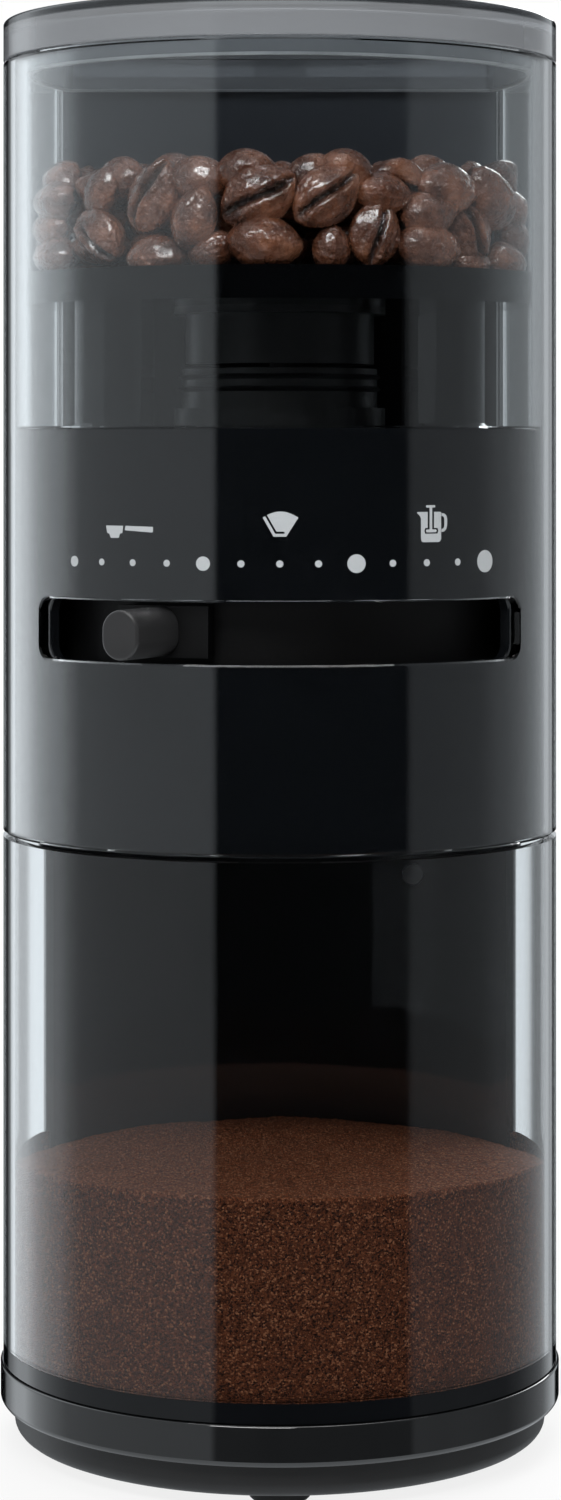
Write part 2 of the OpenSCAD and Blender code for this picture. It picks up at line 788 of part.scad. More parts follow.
module sweeper() {
    arm_r = chamber_r - 0.7;
    color(steel) translate([0, 0, sweeper_z]) difference() {
        linear_extrude(sweeper_t) difference() {
            union() {
                circle(r = burr_foot_r - 3);
                for (a = [0:90:270]) rotate([0, 0, a]) polygon([
                    [0, -4], [arm_r, -1.2], [arm_r, 1.6], [0, 4],
                ]);
            }
            circle(r = shaft_r + 0.02);
        }
    }
}

// One V-shaped groove that follows a cone's side from r_lo at z = 0 to r_hi at z = h
module cone_groove(r_lo, r_hi, h, depth, twist_angle) {
    slope = atan((r_lo - r_hi) / h);
    translate([(r_lo + r_hi) / 2, 0, h / 2]) rotate([0, -slope, 0]) rotate([twist_angle, 0, 0])
        linear_extrude(1.6 * h, center = true)
            polygon([[-depth, 0], [0.3 * depth, -0.75 * depth], [0.3 * depth, 0.75 * depth]]);
}

module cone_burr() {
    mid_h = waist_h + carrier_z - cone_z;
    color(steel) difference() {
        union() {
            translate([0, 0, cone_z]) cylinder(r1 = cone_foot_r, r2 = cone_waist_r, h = mid_h);
            translate([0, 0, cone_z + mid_h]) cylinder(r1 = cone_waist_r, r2 = cone_top_r, h = cone_h - mid_h);
        }
        translate([0, 0, cone_z - 1]) cylinder(r = shaft_r + 0.02, h = cone_h + 2);
        for (i = [0:burr_teeth - 1]) rotate([0, 0, i * 360 / burr_teeth])
            translate([0, 0, cone_z]) cone_groove(cone_foot_r, cone_waist_r, mid_h, tooth_depth, 14);
        for (i = [0:blade_count - 1]) rotate([0, 0, i * 360 / blade_count]) translate([0, 0, cone_z + mid_h])
            cone_groove(cone_waist_r, cone_top_r, cone_h - mid_h, 3.4 * tooth_depth, 24);
    }
}

module burr_nut() {
    color(steel) difference() {
        translate([0, 0, ring_burr_top]) cylinder(r = nut_r, h = nut_h, $fn = 6);
        translate([0, 0, ring_burr_top - 1]) cylinder(r = stub_r + 0.02, h = nut_h + 2);
    }
}

module ring_burr() {
    color(steel) difference() {
        rotate_extrude() polygon([
            [burr_foot_r, ring_burr_z], [burr_r, ring_burr_z], [burr_r, ring_burr_top],
            [burr_mouth_r, ring_burr_top], [burr_waist_r, ring_burr_z + waist_h],
        ]);
        for (i = [0:burr_teeth - 1]) rotate([0, 0, i * 360 / burr_teeth])
            translate([0, 0, ring_burr_z]) rotate([0, 0, 180])
                mirror([1, 0, 0]) cone_groove(burr_foot_r + 0.2, burr_waist_r + 0.2, waist_h, -tooth_depth, -14);
    }
}

module burr_carrier() {
    seat_r = burr_r + seat_gap;
    color(matt_black) rotate_extrude() polygon([
        [seat_r, carrier_z], [carrier_r, carrier_z], [carrier_r, panel_top + 4.5], [neck_r, panel_top + 4.5],
        [neck_r, panel_top + 8], [neck_r + 0.8, panel_top + 8.6], [neck_r, panel_top + 9.2],
        [neck_r, neck_top - 2.4], [neck_r + 0.8, neck_top - 1.8], [neck_r, neck_top - 1.2], [neck_r, neck_top],
        [throat_r, neck_top], [burr_mouth_r + 0.4, ring_burr_top + 1.8], [burr_mouth_r + 0.4, ring_burr_top + 0.05],
        [seat_r, ring_burr_top + 0.05],
    ]);
}

// ---- grind setting ------------------------------------------------------------------------

module setting_ring() {
    color(matt_black) tube(setting_r, setting_r - setting_t, hub_top - setting_h, hub_z);
}

module setting_hub() {
    collar_r = carrier_r + fit_gap;
    color(dark_grey) difference() {
        union() {
            tube(setting_r, collar_r, hub_z, hub_top);
            tube(collar_r + 2.7, collar_r, carrier_z + 0.2, hub_z);
        }
        for (a = [0:60:300]) rotate([0, 0, a]) translate([36, 0, hub_z - 1]) cylinder(r = 5, h = web_t + 2);
    }
}

module lever_block() {
    half = lever_block_angle / 2;
    color(matt_black) sector(setting_r + 0.02, block_r, lever_angle - half, lever_angle + half,
        slot_z - block_h / 2, slot_z + block_h / 2);
}

module lever_peg() {
    rise = (peg_h - peg_w) / 2;
    r = peg_w / 2;
    length = peg_face_r - block_r;
    body = length - peg_chamfer;
    color(dark_grey) rotate([0, 0, lever_angle]) translate([0, -block_r, slot_z]) rotate([90, 0, 0]) {
        for (side = [-1, 1]) translate([0, side * rise, 0]) {
            cylinder(r = r, h = body);
            translate([0, 0, body]) cylinder(r1 = r, r2 = r - peg_chamfer, h = peg_chamfer);
        }
        rotate([90, 0, 0]) linear_extrude(2 * rise, center = true) polygon([
            [-r, 0], [r, 0], [r, body], [r - peg_chamfer, length], [-r + peg_chamfer, length], [-r, body],
        ]);
    }
}

// ---- lid ----------------------------------------------------------------------------------

module lid() {
    arc = [for (a = [0:15:90]) [body_r - lid_round_r + lid_round_r * cos(a), lid_top - lid_round_r + lid_round_r * sin(a)]];
    collar_r = inner_r - fit_gap;
    color(smoky) {
        difference() {
            rotate_extrude() polygon(concat([[0, lid_top - lid_top_t], [body_r - lid_skirt_t, lid_top - lid_top_t],
                [body_r - lid_skirt_t, lid_z], [body_r, lid_z]], arc, [[0, lid_top]]));
        }
        difference() {
            d_prism(collar_r, core_y - fit_gap, lid_z - collar_depth, lid_top - lid_top_t);
            d_prism(collar_r - 2, core_y - fit_gap - 2, lid_z - collar_depth - 1, lid_top);
        }
        translate([-tab_w / 2, tab_y, body_top - tab_depth]) cube([tab_w, tab_t, lid_top - lid_top_t - body_top + tab_depth]);
    }
}

module lid_seal() {
    collar_r = inner_r - fit_gap - 2.1;
    color(rubber) difference() {
        d_prism(collar_r, core_y - fit_gap - 2.1, lid_top - lid_top_t - 2.2, lid_top - lid_top_t - 0.02);
        d_prism(collar_r - 1.6, core_y - fit_gap - 3.7, lid_z, lid_top);
    }
}

// ---- bin ----------------------------------------------------------------------------------

module grounds_bin() {
    floor_z_lo = bin_z + sole_t + 0.05;
    color(clear) difference() {
        union() {
            d_prism(body_r, bin_back_y, bin_z + sole_rim_h, bin_top);
            d_prism(body_r - bin_step, bin_back_y - bin_step, floor_z_lo, bin_z + sole_rim_h + 0.5);
        }
        d_prism(body_r - shell_t, bin_back_y - shell_t, floor_z_lo + bin_floor_t, bin_top + 1);
    }
}

module bin_sole() {
    color(black) difference() {
        union() {
            d_prism(body_r, bin_back_y, bin_z + 1, bin_z + sole_rim_h - 0.02);
            intersection() {
                translate([0, 0, bin_z]) cylinder(r1 = ring_r - 0.3, r2 = body_r, h = 1.001);
                translate([-big / 2, -big, 0]) cube([big, big + bin_back_y, big]);
            }
        }
        d_prism(body_r - bin_step + 0.02, bin_back_y - bin_step + 0.02, bin_z + sole_t, bin_z + sole_rim_h + 1);
    }
}

// ---- controls and electrics ---------------------------------------------------------------

module at_button() {
    rotate([0, 0, button_dir]) translate([body_r, 0, button_z]) rotate([0, 90, 0]) children();
}

module start_button() {
    color(dark_grey) at_button() {
        translate([0, 0, -button_in]) cylinder(r = button_r, h = button_in + button_out - 0.6);
        translate([0, 0, button_out - 0.6]) cylinder(r1 = button_r, r2 = button_r - 0.6, h = 0.6);
    }
}

module button_bezel() {
    color(black) at_button() difference() {
        translate([0, 0, -shell_t - 0.4]) cylinder(r = button_r + bezel_t, h = shell_t + 0.8);
        translate([0, 0, -shell_t - 1]) cylinder(r = button_r + 0.3, h = shell_t + 2);
    }
}

module start_switch() {
    color(matt_black) at_button() {
        translate([-6, -4, -button_in - button_travel - 7.3]) cube([12, 8, 7]);
        translate([-14, -1.5, -button_in - button_travel - 5.3]) cube([28, 3, 2]);
        for (side = [-1, 1]) translate([side * 12, 0, -button_in - button_travel - 4])
            cylinder(r = 1.5, h = button_in + button_travel + 4 - shell_t - 0.1);
    }
}

module bin_pin() {
    color(dark_grey) translate([pin_x, bin_back_y + fit_gap, pin_z]) rotate([-90, 0, 0]) {
        cylinder(r = bin_pin_r, h = bin_pin_l);
        translate([0, 0, bin_pin_l - 3.5]) cylinder(r = bin_pin_r + 1.2, h = 1.2);
    }
}

module bin_switch() {
    switch_y = bin_back_y + fit_gap + bin_pin_l + pin_travel + 0.3;
    color(matt_black) {
        translate([pin_x - 5, switch_y, pin_z - 8]) cube([10, 6, 16]);
        for (dz = [-9.5, 6.5]) translate([pin_x - 3, spine_y + shell_t, pin_z + dz])
            cube([6, switch_y + 2 - spine_y - shell_t, 3]);
    }
}

module control_board() {
    color(board_green) translate([-board_w / 2, board_y, board_z]) cube([board_w, board_t, board_h]);
}

module board_parts() {
    y = board_y + board_t;
    color(matt_black) {
        translate([-0.4 * board_w, y, board_z + 0.55 * board_h]) cube([0.25 * board_w, 12, 0.28 * board_h]);
        translate([0.04 * board_w, y, board_z + 0.6 * board_h]) cube([0.3 * board_w, 9, 0.2 * board_h]);
        translate([0.13 * board_w, y, board_z + 0.1 * board_h]) cube([0.26 * board_w, 10, 0.15 * board_h]);
    }
    color(dark_grey) translate([-0.23 * board_w, y, board_z + 0.27 * board_h]) rotate([-90, 0, 0]) cylinder(r = 7, h = 14);
}

feet();
base_pan();
base_screws();
base_ring();
back_wall();
rear_shell();
rear_screws();
cable_bushing();
cable_clamp();
outer_sleeve();
front_panel();
hopper_liner();
hopper_floor();
finger_guard();
feed_throat();
pillars();
pillar_screws();
upper_plate();
grinding_chamber();
chamber_cover();
gearbox_cover();
gearbox_housing();
shaft_bearings();
idler_pin();
frame_plate();
frame_columns();
frame_screws();
grounds_chute();
motor_can();
motor_brushes();
motor_mounts();
control_board();
board_parts();
start_switch();
bin_switch();
button_bezel();
setting_ring();
setting_hub();
lever_block();
lever_peg();
burr_carrier();
ring_burr();
drive_shaft();
cone_burr();
burr_nut();
sweeper();
output_gear();
idler_gear();
motor_rotor();
motor_pinion();
lid();
lid_seal();
grounds_bin();
bin_sole();
start_button();
bin_pin();
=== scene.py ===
"""Burr coffee grinder: a round tower with a clear bean hopper, a grinding head and a clear bin.

Lengths inside the classes are millimetres in the grinder's own frame: +Z up along the burr axis,
-Y to the front. Pieces are scaled to metres when they are finished. Angles round the tower are
counted from the front, positive towards +X.
"""

import json
import logging
import math
from dataclasses import dataclass
from enum import Enum
from typing import Iterable, Sequence, Union

import bmesh
import bpy
import numpy as np
from bmesh.types import BMEdge, BMesh, BMFace, BMVert
from mathutils import Matrix, Vector, noise

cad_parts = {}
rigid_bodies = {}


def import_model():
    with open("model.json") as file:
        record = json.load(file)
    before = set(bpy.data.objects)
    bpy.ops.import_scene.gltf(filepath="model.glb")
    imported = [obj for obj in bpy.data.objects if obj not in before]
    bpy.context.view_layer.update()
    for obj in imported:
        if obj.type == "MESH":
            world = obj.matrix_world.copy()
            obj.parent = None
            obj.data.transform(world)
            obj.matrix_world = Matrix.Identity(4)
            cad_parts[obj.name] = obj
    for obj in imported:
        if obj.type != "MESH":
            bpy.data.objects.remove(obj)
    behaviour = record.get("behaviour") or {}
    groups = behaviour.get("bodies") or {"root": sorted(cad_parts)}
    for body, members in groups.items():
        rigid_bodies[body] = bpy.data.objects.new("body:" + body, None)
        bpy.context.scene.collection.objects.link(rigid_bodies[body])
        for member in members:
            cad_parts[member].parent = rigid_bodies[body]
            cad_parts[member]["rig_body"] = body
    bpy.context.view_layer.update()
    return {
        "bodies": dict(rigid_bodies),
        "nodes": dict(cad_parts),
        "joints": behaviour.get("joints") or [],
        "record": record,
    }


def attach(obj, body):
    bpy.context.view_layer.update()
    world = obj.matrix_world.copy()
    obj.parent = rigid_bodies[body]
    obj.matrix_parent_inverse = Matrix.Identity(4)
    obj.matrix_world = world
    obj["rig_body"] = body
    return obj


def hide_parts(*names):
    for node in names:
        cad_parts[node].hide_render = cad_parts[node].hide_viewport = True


log = logging.getLogger("grinder")

MM = 0.001
Number = Union[float, "Field"]
Triple = tuple[float, float, float]


# ---- shaders --------------------------------------------------------------------------------


class Field:
    """A number or colour that varies over a surface: a node socket with arithmetic."""

    def __init__(self, tree: bpy.types.NodeTree, socket: bpy.types.NodeSocket) -> None:
        """Wraps one output socket of a node tree."""
        self.tree = tree
        self.socket = socket

    def _math(self, operation: str, first: Number, second: Number) -> "Field":
        """Returns a Math node's output for two values."""
        node = self.tree.nodes.new("ShaderNodeMath")
        node.operation = operation
        for socket, value in zip(node.inputs, (first, second)):
            if isinstance(value, Field):
                self.tree.links.new(value.socket, socket)
            else:
                socket.default_value = value
        return Field(self.tree, node.outputs[0])

    def __add__(self, other: Number) -> "Field":
        """Returns self + other."""
        return self._math("ADD", self, other)

    __radd__ = __add__

    def __sub__(self, other: Number) -> "Field":
        """Returns self - other."""
        return self._math("SUBTRACT", self, other)

    def __rsub__(self, other: Number) -> "Field":
        """Returns other - self."""
        return self._math("SUBTRACT", other, self)

    def __mul__(self, other: Number) -> "Field":
        """Returns self * other."""
        return self._math("MULTIPLY", self, other)

    __rmul__ = __mul__

    def highest(self, other: Number) -> "Field":
        """Returns the larger of self and other."""
        return self._math("MAXIMUM", self, other)

    def turn(self, ahead: Number) -> "Field":
        """Returns the angle, in radians, whose tangent is self / ahead."""
        return self._math("ARCTAN2", self, ahead)


class Shader:
    """One material or world node tree with a single node-making method."""

    def __init__(self, tree: bpy.types.NodeTree) -> None:
        """Empties the tree."""
        self.tree = tree
        tree.nodes.clear()

    def node(self, kind: str, settings: dict | None = None, **inputs: object) -> bpy.types.Node:
        """Adds a node.

        Args:
            kind: the node's type without the ShaderNode prefix.
            settings: properties that are set before the sockets, a ramp's stops among them.
            inputs: socket values or links by socket name, with _ for a space, or inN by number.

        Returns:
            The node.
        """
        node = self.tree.nodes.new("ShaderNode" + kind)
        for name, value in (settings or {}).items():
            if name == "stops":
                ramp = node.color_ramp
                while len(ramp.elements) < len(value):
                    ramp.elements.new(0.5)
                for element, (place, colour) in zip(ramp.elements, value):
                    element.position = place
                    element.color = (*colour, 1) if isinstance(colour, tuple) else (colour,) * 3 + (1,)
            else:
                setattr(node, name, value)
        for name, value in inputs.items():
            key = int(name[2:]) if name[:2] == "in" and name[2:].isdigit() else name.replace("_", " ")
            socket = node.inputs[key]
            if isinstance(value, Field):
                self.tree.links.new(value.socket, socket)
            elif isinstance(value, bpy.types.NodeSocket):
                self.tree.links.new(value, socket)
            elif isinstance(value, tuple) and len(value) == 3 and socket.type == "RGBA":
                socket.default_value = (*value, 1)
            else:
                socket.default_value = value
        return node

    def field(self, node: bpy.types.Node, output: int | str = 0) -> Field:
        """Returns a node's output as a Field."""
        return Field(self.tree, node.outputs[output])

    def place(self, scale: Triple = (1, 1, 1)) -> bpy.types.NodeSocket:
        """Returns Object coordinates in metres, stretched by scale."""
        where = self.node("TexCoord").outputs["Object"]
        return self.node("Mapping", Vector=where, Scale=scale).outputs[0]

    def grain(self, size_mm: float, detail: float = 2, stretch: Triple = (1, 1, 1)) -> Field:
        """Returns noise from 0 to 1 whose features are about size_mm across."""
        return self.field(
            self.node("TexNoise", Vector=self.place(stretch), Scale=1 / (size_mm * MM), Detail=detail)
        )

    def rise(self, height_mm: float, fade_mm: float) -> Field:
        """Returns a value that passes from 0 to 1 over fade_mm of height about height_mm."""
        height = self.field(self.node("SeparateXYZ", Vector=self.place()), 2)
        return height * (1 / (fade_mm * MM)) + (0.5 - height_mm / fade_mm)

    def cells(self, size_mm: float) -> bpy.types.Node:
        """Returns a Voronoi node whose cells are about size_mm across."""
        return self.node("TexVoronoi", Vector=self.place(), Scale=1 / (size_mm * MM))

    def attribute(self, name: str) -> Field:
        """Returns a float layer of the mesh."""
        return self.field(self.node("Attribute", {"attribute_name": name}), "Fac")

    def ramp(self, value: Number, stops: Sequence[tuple[float, object]]) -> Field:
        """Returns value sent through a colour ramp."""
        return self.field(self.node("ValToRGB", {"stops": stops}, Fac=value))

    def mix(self, share: Field, first: object, second: object) -> Field:
        """Returns a colour that passes from first to second as share rises from 0 to 1."""
        return self.field(self.node("Mix", {"data_type": "RGBA"}, in0=share, in6=first, in7=second), 2)

    def bump(self, height: Field, depth_mm: float) -> bpy.types.NodeSocket:
        """Returns a normal from a height field whose range is depth_mm."""
        return self.node("Bump", Height=height, Distance=depth_mm * MM).outputs[0]

    def blend(self, share: Field, first: bpy.types.Node, second: bpy.types.Node) -> bpy.types.Node:
        """Returns a Mix Shader node between two surfaces."""
        return self.node("MixShader", in0=share, in1=first.outputs[0], in2=second.outputs[0])


class Coating:
    """What all finishes share: a material whose surface node comes from the finish."""

    name: str

    def surface(self, shader: Shader) -> bpy.types.Node:
        """Returns the node of the finish's surface."""
        raise NotImplementedError

    def material(self) -> bpy.types.Material:
        """Returns the finish as a material."""
        material = bpy.data.materials.new(self.name)
        material.use_nodes = True
        shader = Shader(material.node_tree)
        shader.node("OutputMaterial", Surface=self.surface(shader).outputs[0])
        return material


@dataclass(frozen=True)
class Plastic(Coating):
    """Moulded plastic: a colour with a faint cloudiness, and a grained or polished surface.

    Above a given height, in millimetres, it turns to a lighter colour: painted light that stands in for the light
    falling on the part's upper reach.
    """

    name: str
    colour: Triple
    roughness: float
    grain_mm: float = 0.6
    grain_depth_mm: float = 0.0
    cloud: float = 0.15
    specular: float = 0.5
    # painted light: the lighter colour of the part's top, and the height where it begins
    painted_light_colour: Triple | None = None
    painted_light_height: float = 0.0
    fade: float = 1.0

    def surface(self, shader: Shader) -> bpy.types.Node:
        """Returns the node of the finish's surface."""
        cloud = shader.grain(14, 3)
        low = tuple(c * (1 - self.cloud) for c in self.colour)
        high = tuple(c * (1 + self.cloud) for c in self.colour)
        fine = shader.grain(self.grain_mm, 3)
        colour = shader.ramp(cloud, ((0.3, low), (0.7, high)))
        # painted light: towards its top the part turns lighter, as if more light reached it there
        if self.painted_light_colour:
            rise = shader.ramp(shader.rise(self.painted_light_height, self.fade), ((0.0, 0.0), (1.0, 1.0)))
            colour = shader.mix(rise, colour, self.painted_light_colour)
        relief = {"Normal": shader.bump(fine, self.grain_depth_mm)} if self.grain_depth_mm else {}
        gloss = fine * (0.25 * self.roughness) + cloud * (0.1 * self.roughness) + 0.8 * self.roughness
        return shader.node(
            "BsdfPrincipled", Base_Color=colour, Roughness=gloss, IOR=1.5, Specular_IOR_Level=self.specular,
            **relief,
        )


@dataclass(frozen=True)
class Metal(Coating):
    """Machined metal with fine turning or brushing marks."""

    name: str
    colour: Triple
    roughness: float
    stretch: Triple = (1, 1, 12)

    def surface(self, shader: Shader) -> bpy.types.Node:
        """Returns the node of the finish's surface."""
        marks = shader.grain(1.2, 4, self.stretch)
        low = tuple(c * 0.82 for c in self.colour)
        return shader.node(
            "BsdfPrincipled",
            Base_Color=shader.ramp(shader.grain(6, 2), ((0.3, low), (0.7, self.colour))),
            Metallic=1.0,
            Roughness=marks * 0.16 + self.roughness,
            Normal=shader.bump(marks, 0.02),
        )


@dataclass(frozen=True)
class ClearMoulding(Coating):
    """Thick clear or smoked plastic that lets lamps reach what it holds.

    Above a given height, in millimetres, the moulding turns to a darker tint: painted shade for the dark band that a
    thick top plate shows at its edge by refracting the dark inside.
    """

    name: str
    tint: Triple
    shade: Triple
    roughness: float = 0.012
    ior: float = 1.49
    haze: float = 0.0
    band_shade_tint: Triple | None = None
    band_shade_height: float = 0.0

    def surface(self, shader: Shader) -> bpy.types.Node:
        """Returns the node of the finish's surface."""
        colour: object = self.tint
        # painted shade: above the height the moulding takes a dark tint
        if self.band_shade_tint:
            colour = shader.ramp(shader.rise(self.band_shade_height, 0.4), ((0.0, self.tint), (1.0, self.band_shade_tint)))
        body = shader.node(
            "BsdfPrincipled",
            Base_Color=colour,
            Roughness=shader.grain(30, 2) * 0.006 + self.roughness,
            IOR=self.ior,
            Transmission_Weight=1.0 - self.haze,
        )
        through = shader.node("BsdfTransparent", Color=self.shade)
        path = shader.node("LightPath")
        lamp = shader.field(path, "Is Shadow Ray").highest(shader.field(path, "Is Diffuse Ray"))
        return shader.blend(lamp, body, through)


@dataclass(frozen=True)
class RoastedSkin(Coating):
    """Oily dark roasted coffee bean: red brown, wrinkled, with broken highlights, and painted shade darkening its
    crease.
    """

    name: str = "roasted_bean"
    roast: tuple[tuple[float, Triple], ...] = (
        (0.3, (0.055, 0.017, 0.008)), (0.5, (0.14, 0.046, 0.021)), (0.7, (0.28, 0.105, 0.052)),
    )
    # painted shade: the near-black colour that the crease's groove is painted
    crease: Triple = (0.008, 0.0035, 0.002)

    def surface(self, shader: Shader) -> bpy.types.Node:
        """Returns the node of the finish's surface."""
        wrinkle = shader.grain(0.8, 3) * 0.5 + shader.grain(2.0, 3) * 0.5
        skin = shader.ramp(shader.grain(6, 4), self.roast)
        # the crease is mixed towards near-black: painted shade in its groove
        return shader.node(
            "BsdfPrincipled",
            Base_Color=shader.mix(shader.attribute("crease"), skin, self.crease),
            Roughness=shader.grain(2.2, 3) * 0.3 + 0.12,
            IOR=1.6,
            Coat_Weight=shader.grain(3.0, 3) * 2.4 - 0.5,
            Coat_Roughness=0.08,
            Coat_IOR=1.8,
            Normal=shader.bump(wrinkle, 1.3),
        )


@dataclass(frozen=True)
class GroundPowder(Coating):
    """Ground coffee: granules from dark brown to tan, paler on the heap's top surface."""

    name: str = "ground_coffee"
    packed: tuple[tuple[float, Triple], ...] = (
        (0.15, (0.014, 0.004, 0.002)), (0.4, (0.05, 0.0145, 0.006)), (0.78, (0.095, 0.028, 0.0115)),
        (0.88, (0.19, 0.08, 0.04)),
    )
    loose: tuple[tuple[float, Triple], ...] = (
        (0.1, (0.05, 0.015, 0.006)), (0.8, (0.16, 0.05, 0.021)), (0.92, (0.24, 0.11, 0.06)),
    )

    def surface(self, shader: Shader) -> bpy.types.Node:
        """Returns the node of the finish's surface."""
        grains = shader.cells(0.34)
        tone = shader.field(shader.node("SeparateColor", Color=grains.outputs["Color"]))
        packed = shader.ramp(tone * 0.8 + shader.grain(9, 3) * 0.2, self.packed)
        hollow = shader.field(grains, "Distance") * -1.0 + shader.grain(0.4, 2) * 0.4
        return shader.node(
            "BsdfPrincipled",
            Base_Color=shader.mix(shader.attribute("loose"), packed, shader.ramp(tone, self.loose)),
            Roughness=tone * 0.2 + 0.72,
            Specular_IOR_Level=0.12,
            Normal=shader.bump(hollow, 0.35),
        )


@dataclass(frozen=True)
class FloorCard(Coating):
    """Pale card that is nearly white to the camera, so that only a soft shadow shows near the tower."""

    name: str = "floor_card"
    pale: Triple = (0.85, 0.85, 0.85)
    #: share of pure white that the camera sees at the tower; far from it, it is 1
    white: float = 0.84

    def surface(self, shader: Shader) -> bpy.types.Node:
        """Returns the node of the finish's surface."""
        card = shader.node("BsdfDiffuse", Color=self.pale)
        glow = shader.node("Emission", Color=(1, 1, 1), Strength=1.0)
        reach = shader.field(shader.node("VectorMath", {"operation": "LENGTH"}, in0=shader.place()), "Value")
        far = shader.ramp(reach * 0.4, ((0.15, 0.0), (0.75, 1.0)))
        seen = shader.field(shader.node("LightPath"), "Is Camera Ray") * (far * (1 - self.white) + self.white)
        return shader.blend(seen, card, glow)


class Finish(Enum):
    """Every finish of the grinder; most are named by their material slot."""

    GLOSS_BLACK = Plastic("gloss_black", (0.0042, 0.0048, 0.0058), 0.05, grain_mm=30, cloud=0.1)
    # hopper's back wall: black below, lighter above 262 mm as painted light falling from the lid
    WALL_BLACK = Plastic(
        "wall_black", (0.0045, 0.005, 0.0062), 0.4, grain_mm=0.8, cloud=0.1, specular=0.12,
        painted_light_colour=(0.066, 0.072, 0.082), painted_light_height=262.0, fade=30.0,
    )
    FLOOR_BLACK = Plastic("floor_black", (0.0022, 0.0024, 0.0028), 0.06, grain_mm=30, cloud=0.1, specular=0.15)
    RING_BLACK = Plastic("ring_black", (0.0115, 0.0122, 0.013), 0.06, grain_mm=30, cloud=0.1, specular=1.0)
    NECK_BLACK = Plastic("neck_black", (0.012, 0.0128, 0.0145), 0.42, grain_mm=0.5, grain_depth_mm=0.01, specular=0.4)
    MATT_BLACK = Plastic("matt_black", (0.0145, 0.0145, 0.015), 0.52, grain_mm=0.35, grain_depth_mm=0.03)
    DARK_PLASTIC = Plastic("dark_plastic", (0.026, 0.026, 0.027), 0.34, grain_mm=0.5, grain_depth_mm=0.012)
    RUBBER_BLACK = Plastic("rubber_black", (0.02, 0.02, 0.02), 0.75, grain_mm=0.8, grain_depth_mm=0.03)
    CLEAR_PLASTIC = ClearMoulding("clear_plastic", (0.97, 0.985, 0.99), (0.93, 0.94, 0.945))
    # the lid's top plate is tinted dark above 304.9 mm: painted shade for the dark band along its edge
    SMOKY_PLASTIC = ClearMoulding(
        "smoky_plastic", (0.45, 0.465, 0.485), (0.5, 0.52, 0.54), haze=0.38, band_shade_tint=(0.06, 0.065, 0.07),
        band_shade_height=304.9,
    )
    # black plastic of the parts behind the slot: their own black, darkened far below matt black as painted shade of
    # the recess behind the sleeve
    SLOT_SHADE_BLACK = Plastic("slot_shade_black", (0.004, 0.004, 0.0043), 0.46, grain_mm=0.9, grain_depth_mm=0.04, specular=0.22)
    SEAL_GREY = Plastic("seal_grey", (0.15, 0.155, 0.16), 0.55, grain_mm=0.8, grain_depth_mm=0.02)
    # pale grey of the collar's bead: a painted highlight
    HIGHLIGHT_GREY = Plastic("highlight_grey", (0.4, 0.41, 0.42), 0.3, grain_mm=0.8)
    DARK_STEEL = Metal("dark_steel", (0.13, 0.13, 0.135), 0.4)
    STEEL = Metal("steel", (0.6, 0.6, 0.61), 0.24)
    BURR_STEEL = Metal("burr_steel", (0.46, 0.46, 0.47), 0.3, (6, 6, 1))
    BRASS = Metal("brass", (0.72, 0.53, 0.25), 0.3)
    BOARD_GREEN = Plastic("board_green", (0.03, 0.16, 0.06), 0.38, grain_mm=2.0, grain_depth_mm=0.01)
    PRINT = Plastic("scale_print", (0.6, 0.61, 0.62), 0.5, grain_mm=0.3, cloud=0.02)
    BEAN = RoastedSkin()
    POWDER = GroundPowder()

    @property
    def slot(self) -> str:
        """The record's material slot of this finish."""
        return self.value.name

    def get(self) -> bpy.types.Material:
        """Returns the finish's material, made on first use."""
        if self not in MADE:
            MADE[self] = self.value.material()
        return MADE[self]


MADE: dict[Finish, bpy.types.Material] = {}
#: a piece that keeps its shading smooth past this many degrees has no long walls to keep flat
SMOOTH_FORM = 45


# ---- mesh making ----------------------------------------------------------------------------


def finish_piece(
    name: str,
    mesh: BMesh,
    finish: Finish,
    body: str,
    replaced: Sequence[str] = (),
    sharp: float = 32.0,
    from_cad: bool = False,
) -> None:
    """Turns a bmesh into a finished piece that rides on a body.

    Args:
        name: the piece's name.
        mesh: its mesh; it is freed.
        finish: its finish.
        body: the CAD body that it moves with.
        replaced: the CAD nodes that it stands for.
        sharp: edges that turn by more degrees than this stay sharp.
        from_cad: whether the mesh is in metres already, with its faces turned outwards.
    """
    if not from_cad:
        bmesh.ops.recalc_face_normals(mesh, faces=mesh.faces[:])
        if mesh.calc_volume(signed=True) < 0:
            bmesh.ops.reverse_faces(mesh, faces=mesh.faces[:])
        bmesh.ops.scale(mesh, vec=(MM, MM, MM), verts=mesh.verts[:])
    limit = math.radians(sharp)
    for face in mesh.faces:
        face.smooth = True
    for edge in mesh.edges:
        edge.smooth = len(edge.link_faces) == 2 and edge.calc_face_angle(0) < limit
    data = bpy.data.meshes.new(name)
    mesh.to_mesh(data)
    mesh.free()
    data.materials.append(finish.get())
    piece = bpy.data.objects.new(name, data)
    bpy.context.scene.collection.objects.link(piece)
    if sharp < SMOOTH_FORM:
        # keeps roundings from bending the shading of the long walls beside them
        weigh = piece.modifiers.new("weigh", "WEIGHTED_NORMAL")
        weigh.keep_sharp = True
        weigh.weight = 100
    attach(piece, body)
    for node in replaced:
        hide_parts(node)
    log.info("%s: %d faces on %s", name, len(data.polygons), body)


def bevel(
    mesh: BMesh, geom: list, width: float, segments: int = 3, affect: str = "EDGES", clamp: bool = True
) -> None:
    """Rounds edges or corners.

    Args:
        mesh: their mesh.
        geom: the edges or vertices.
        width: how far the rounding reaches.
        segments: its segments.
        affect: EDGES or VERTICES.
        clamp: whether neighbouring roundings are kept apart.
    """
    bmesh.ops.bevel(
        mesh, geom=geom, offset=width, segments=segments, profile=0.5, affect=affect, material=-1,
        clamp_overlap=clamp,
    )


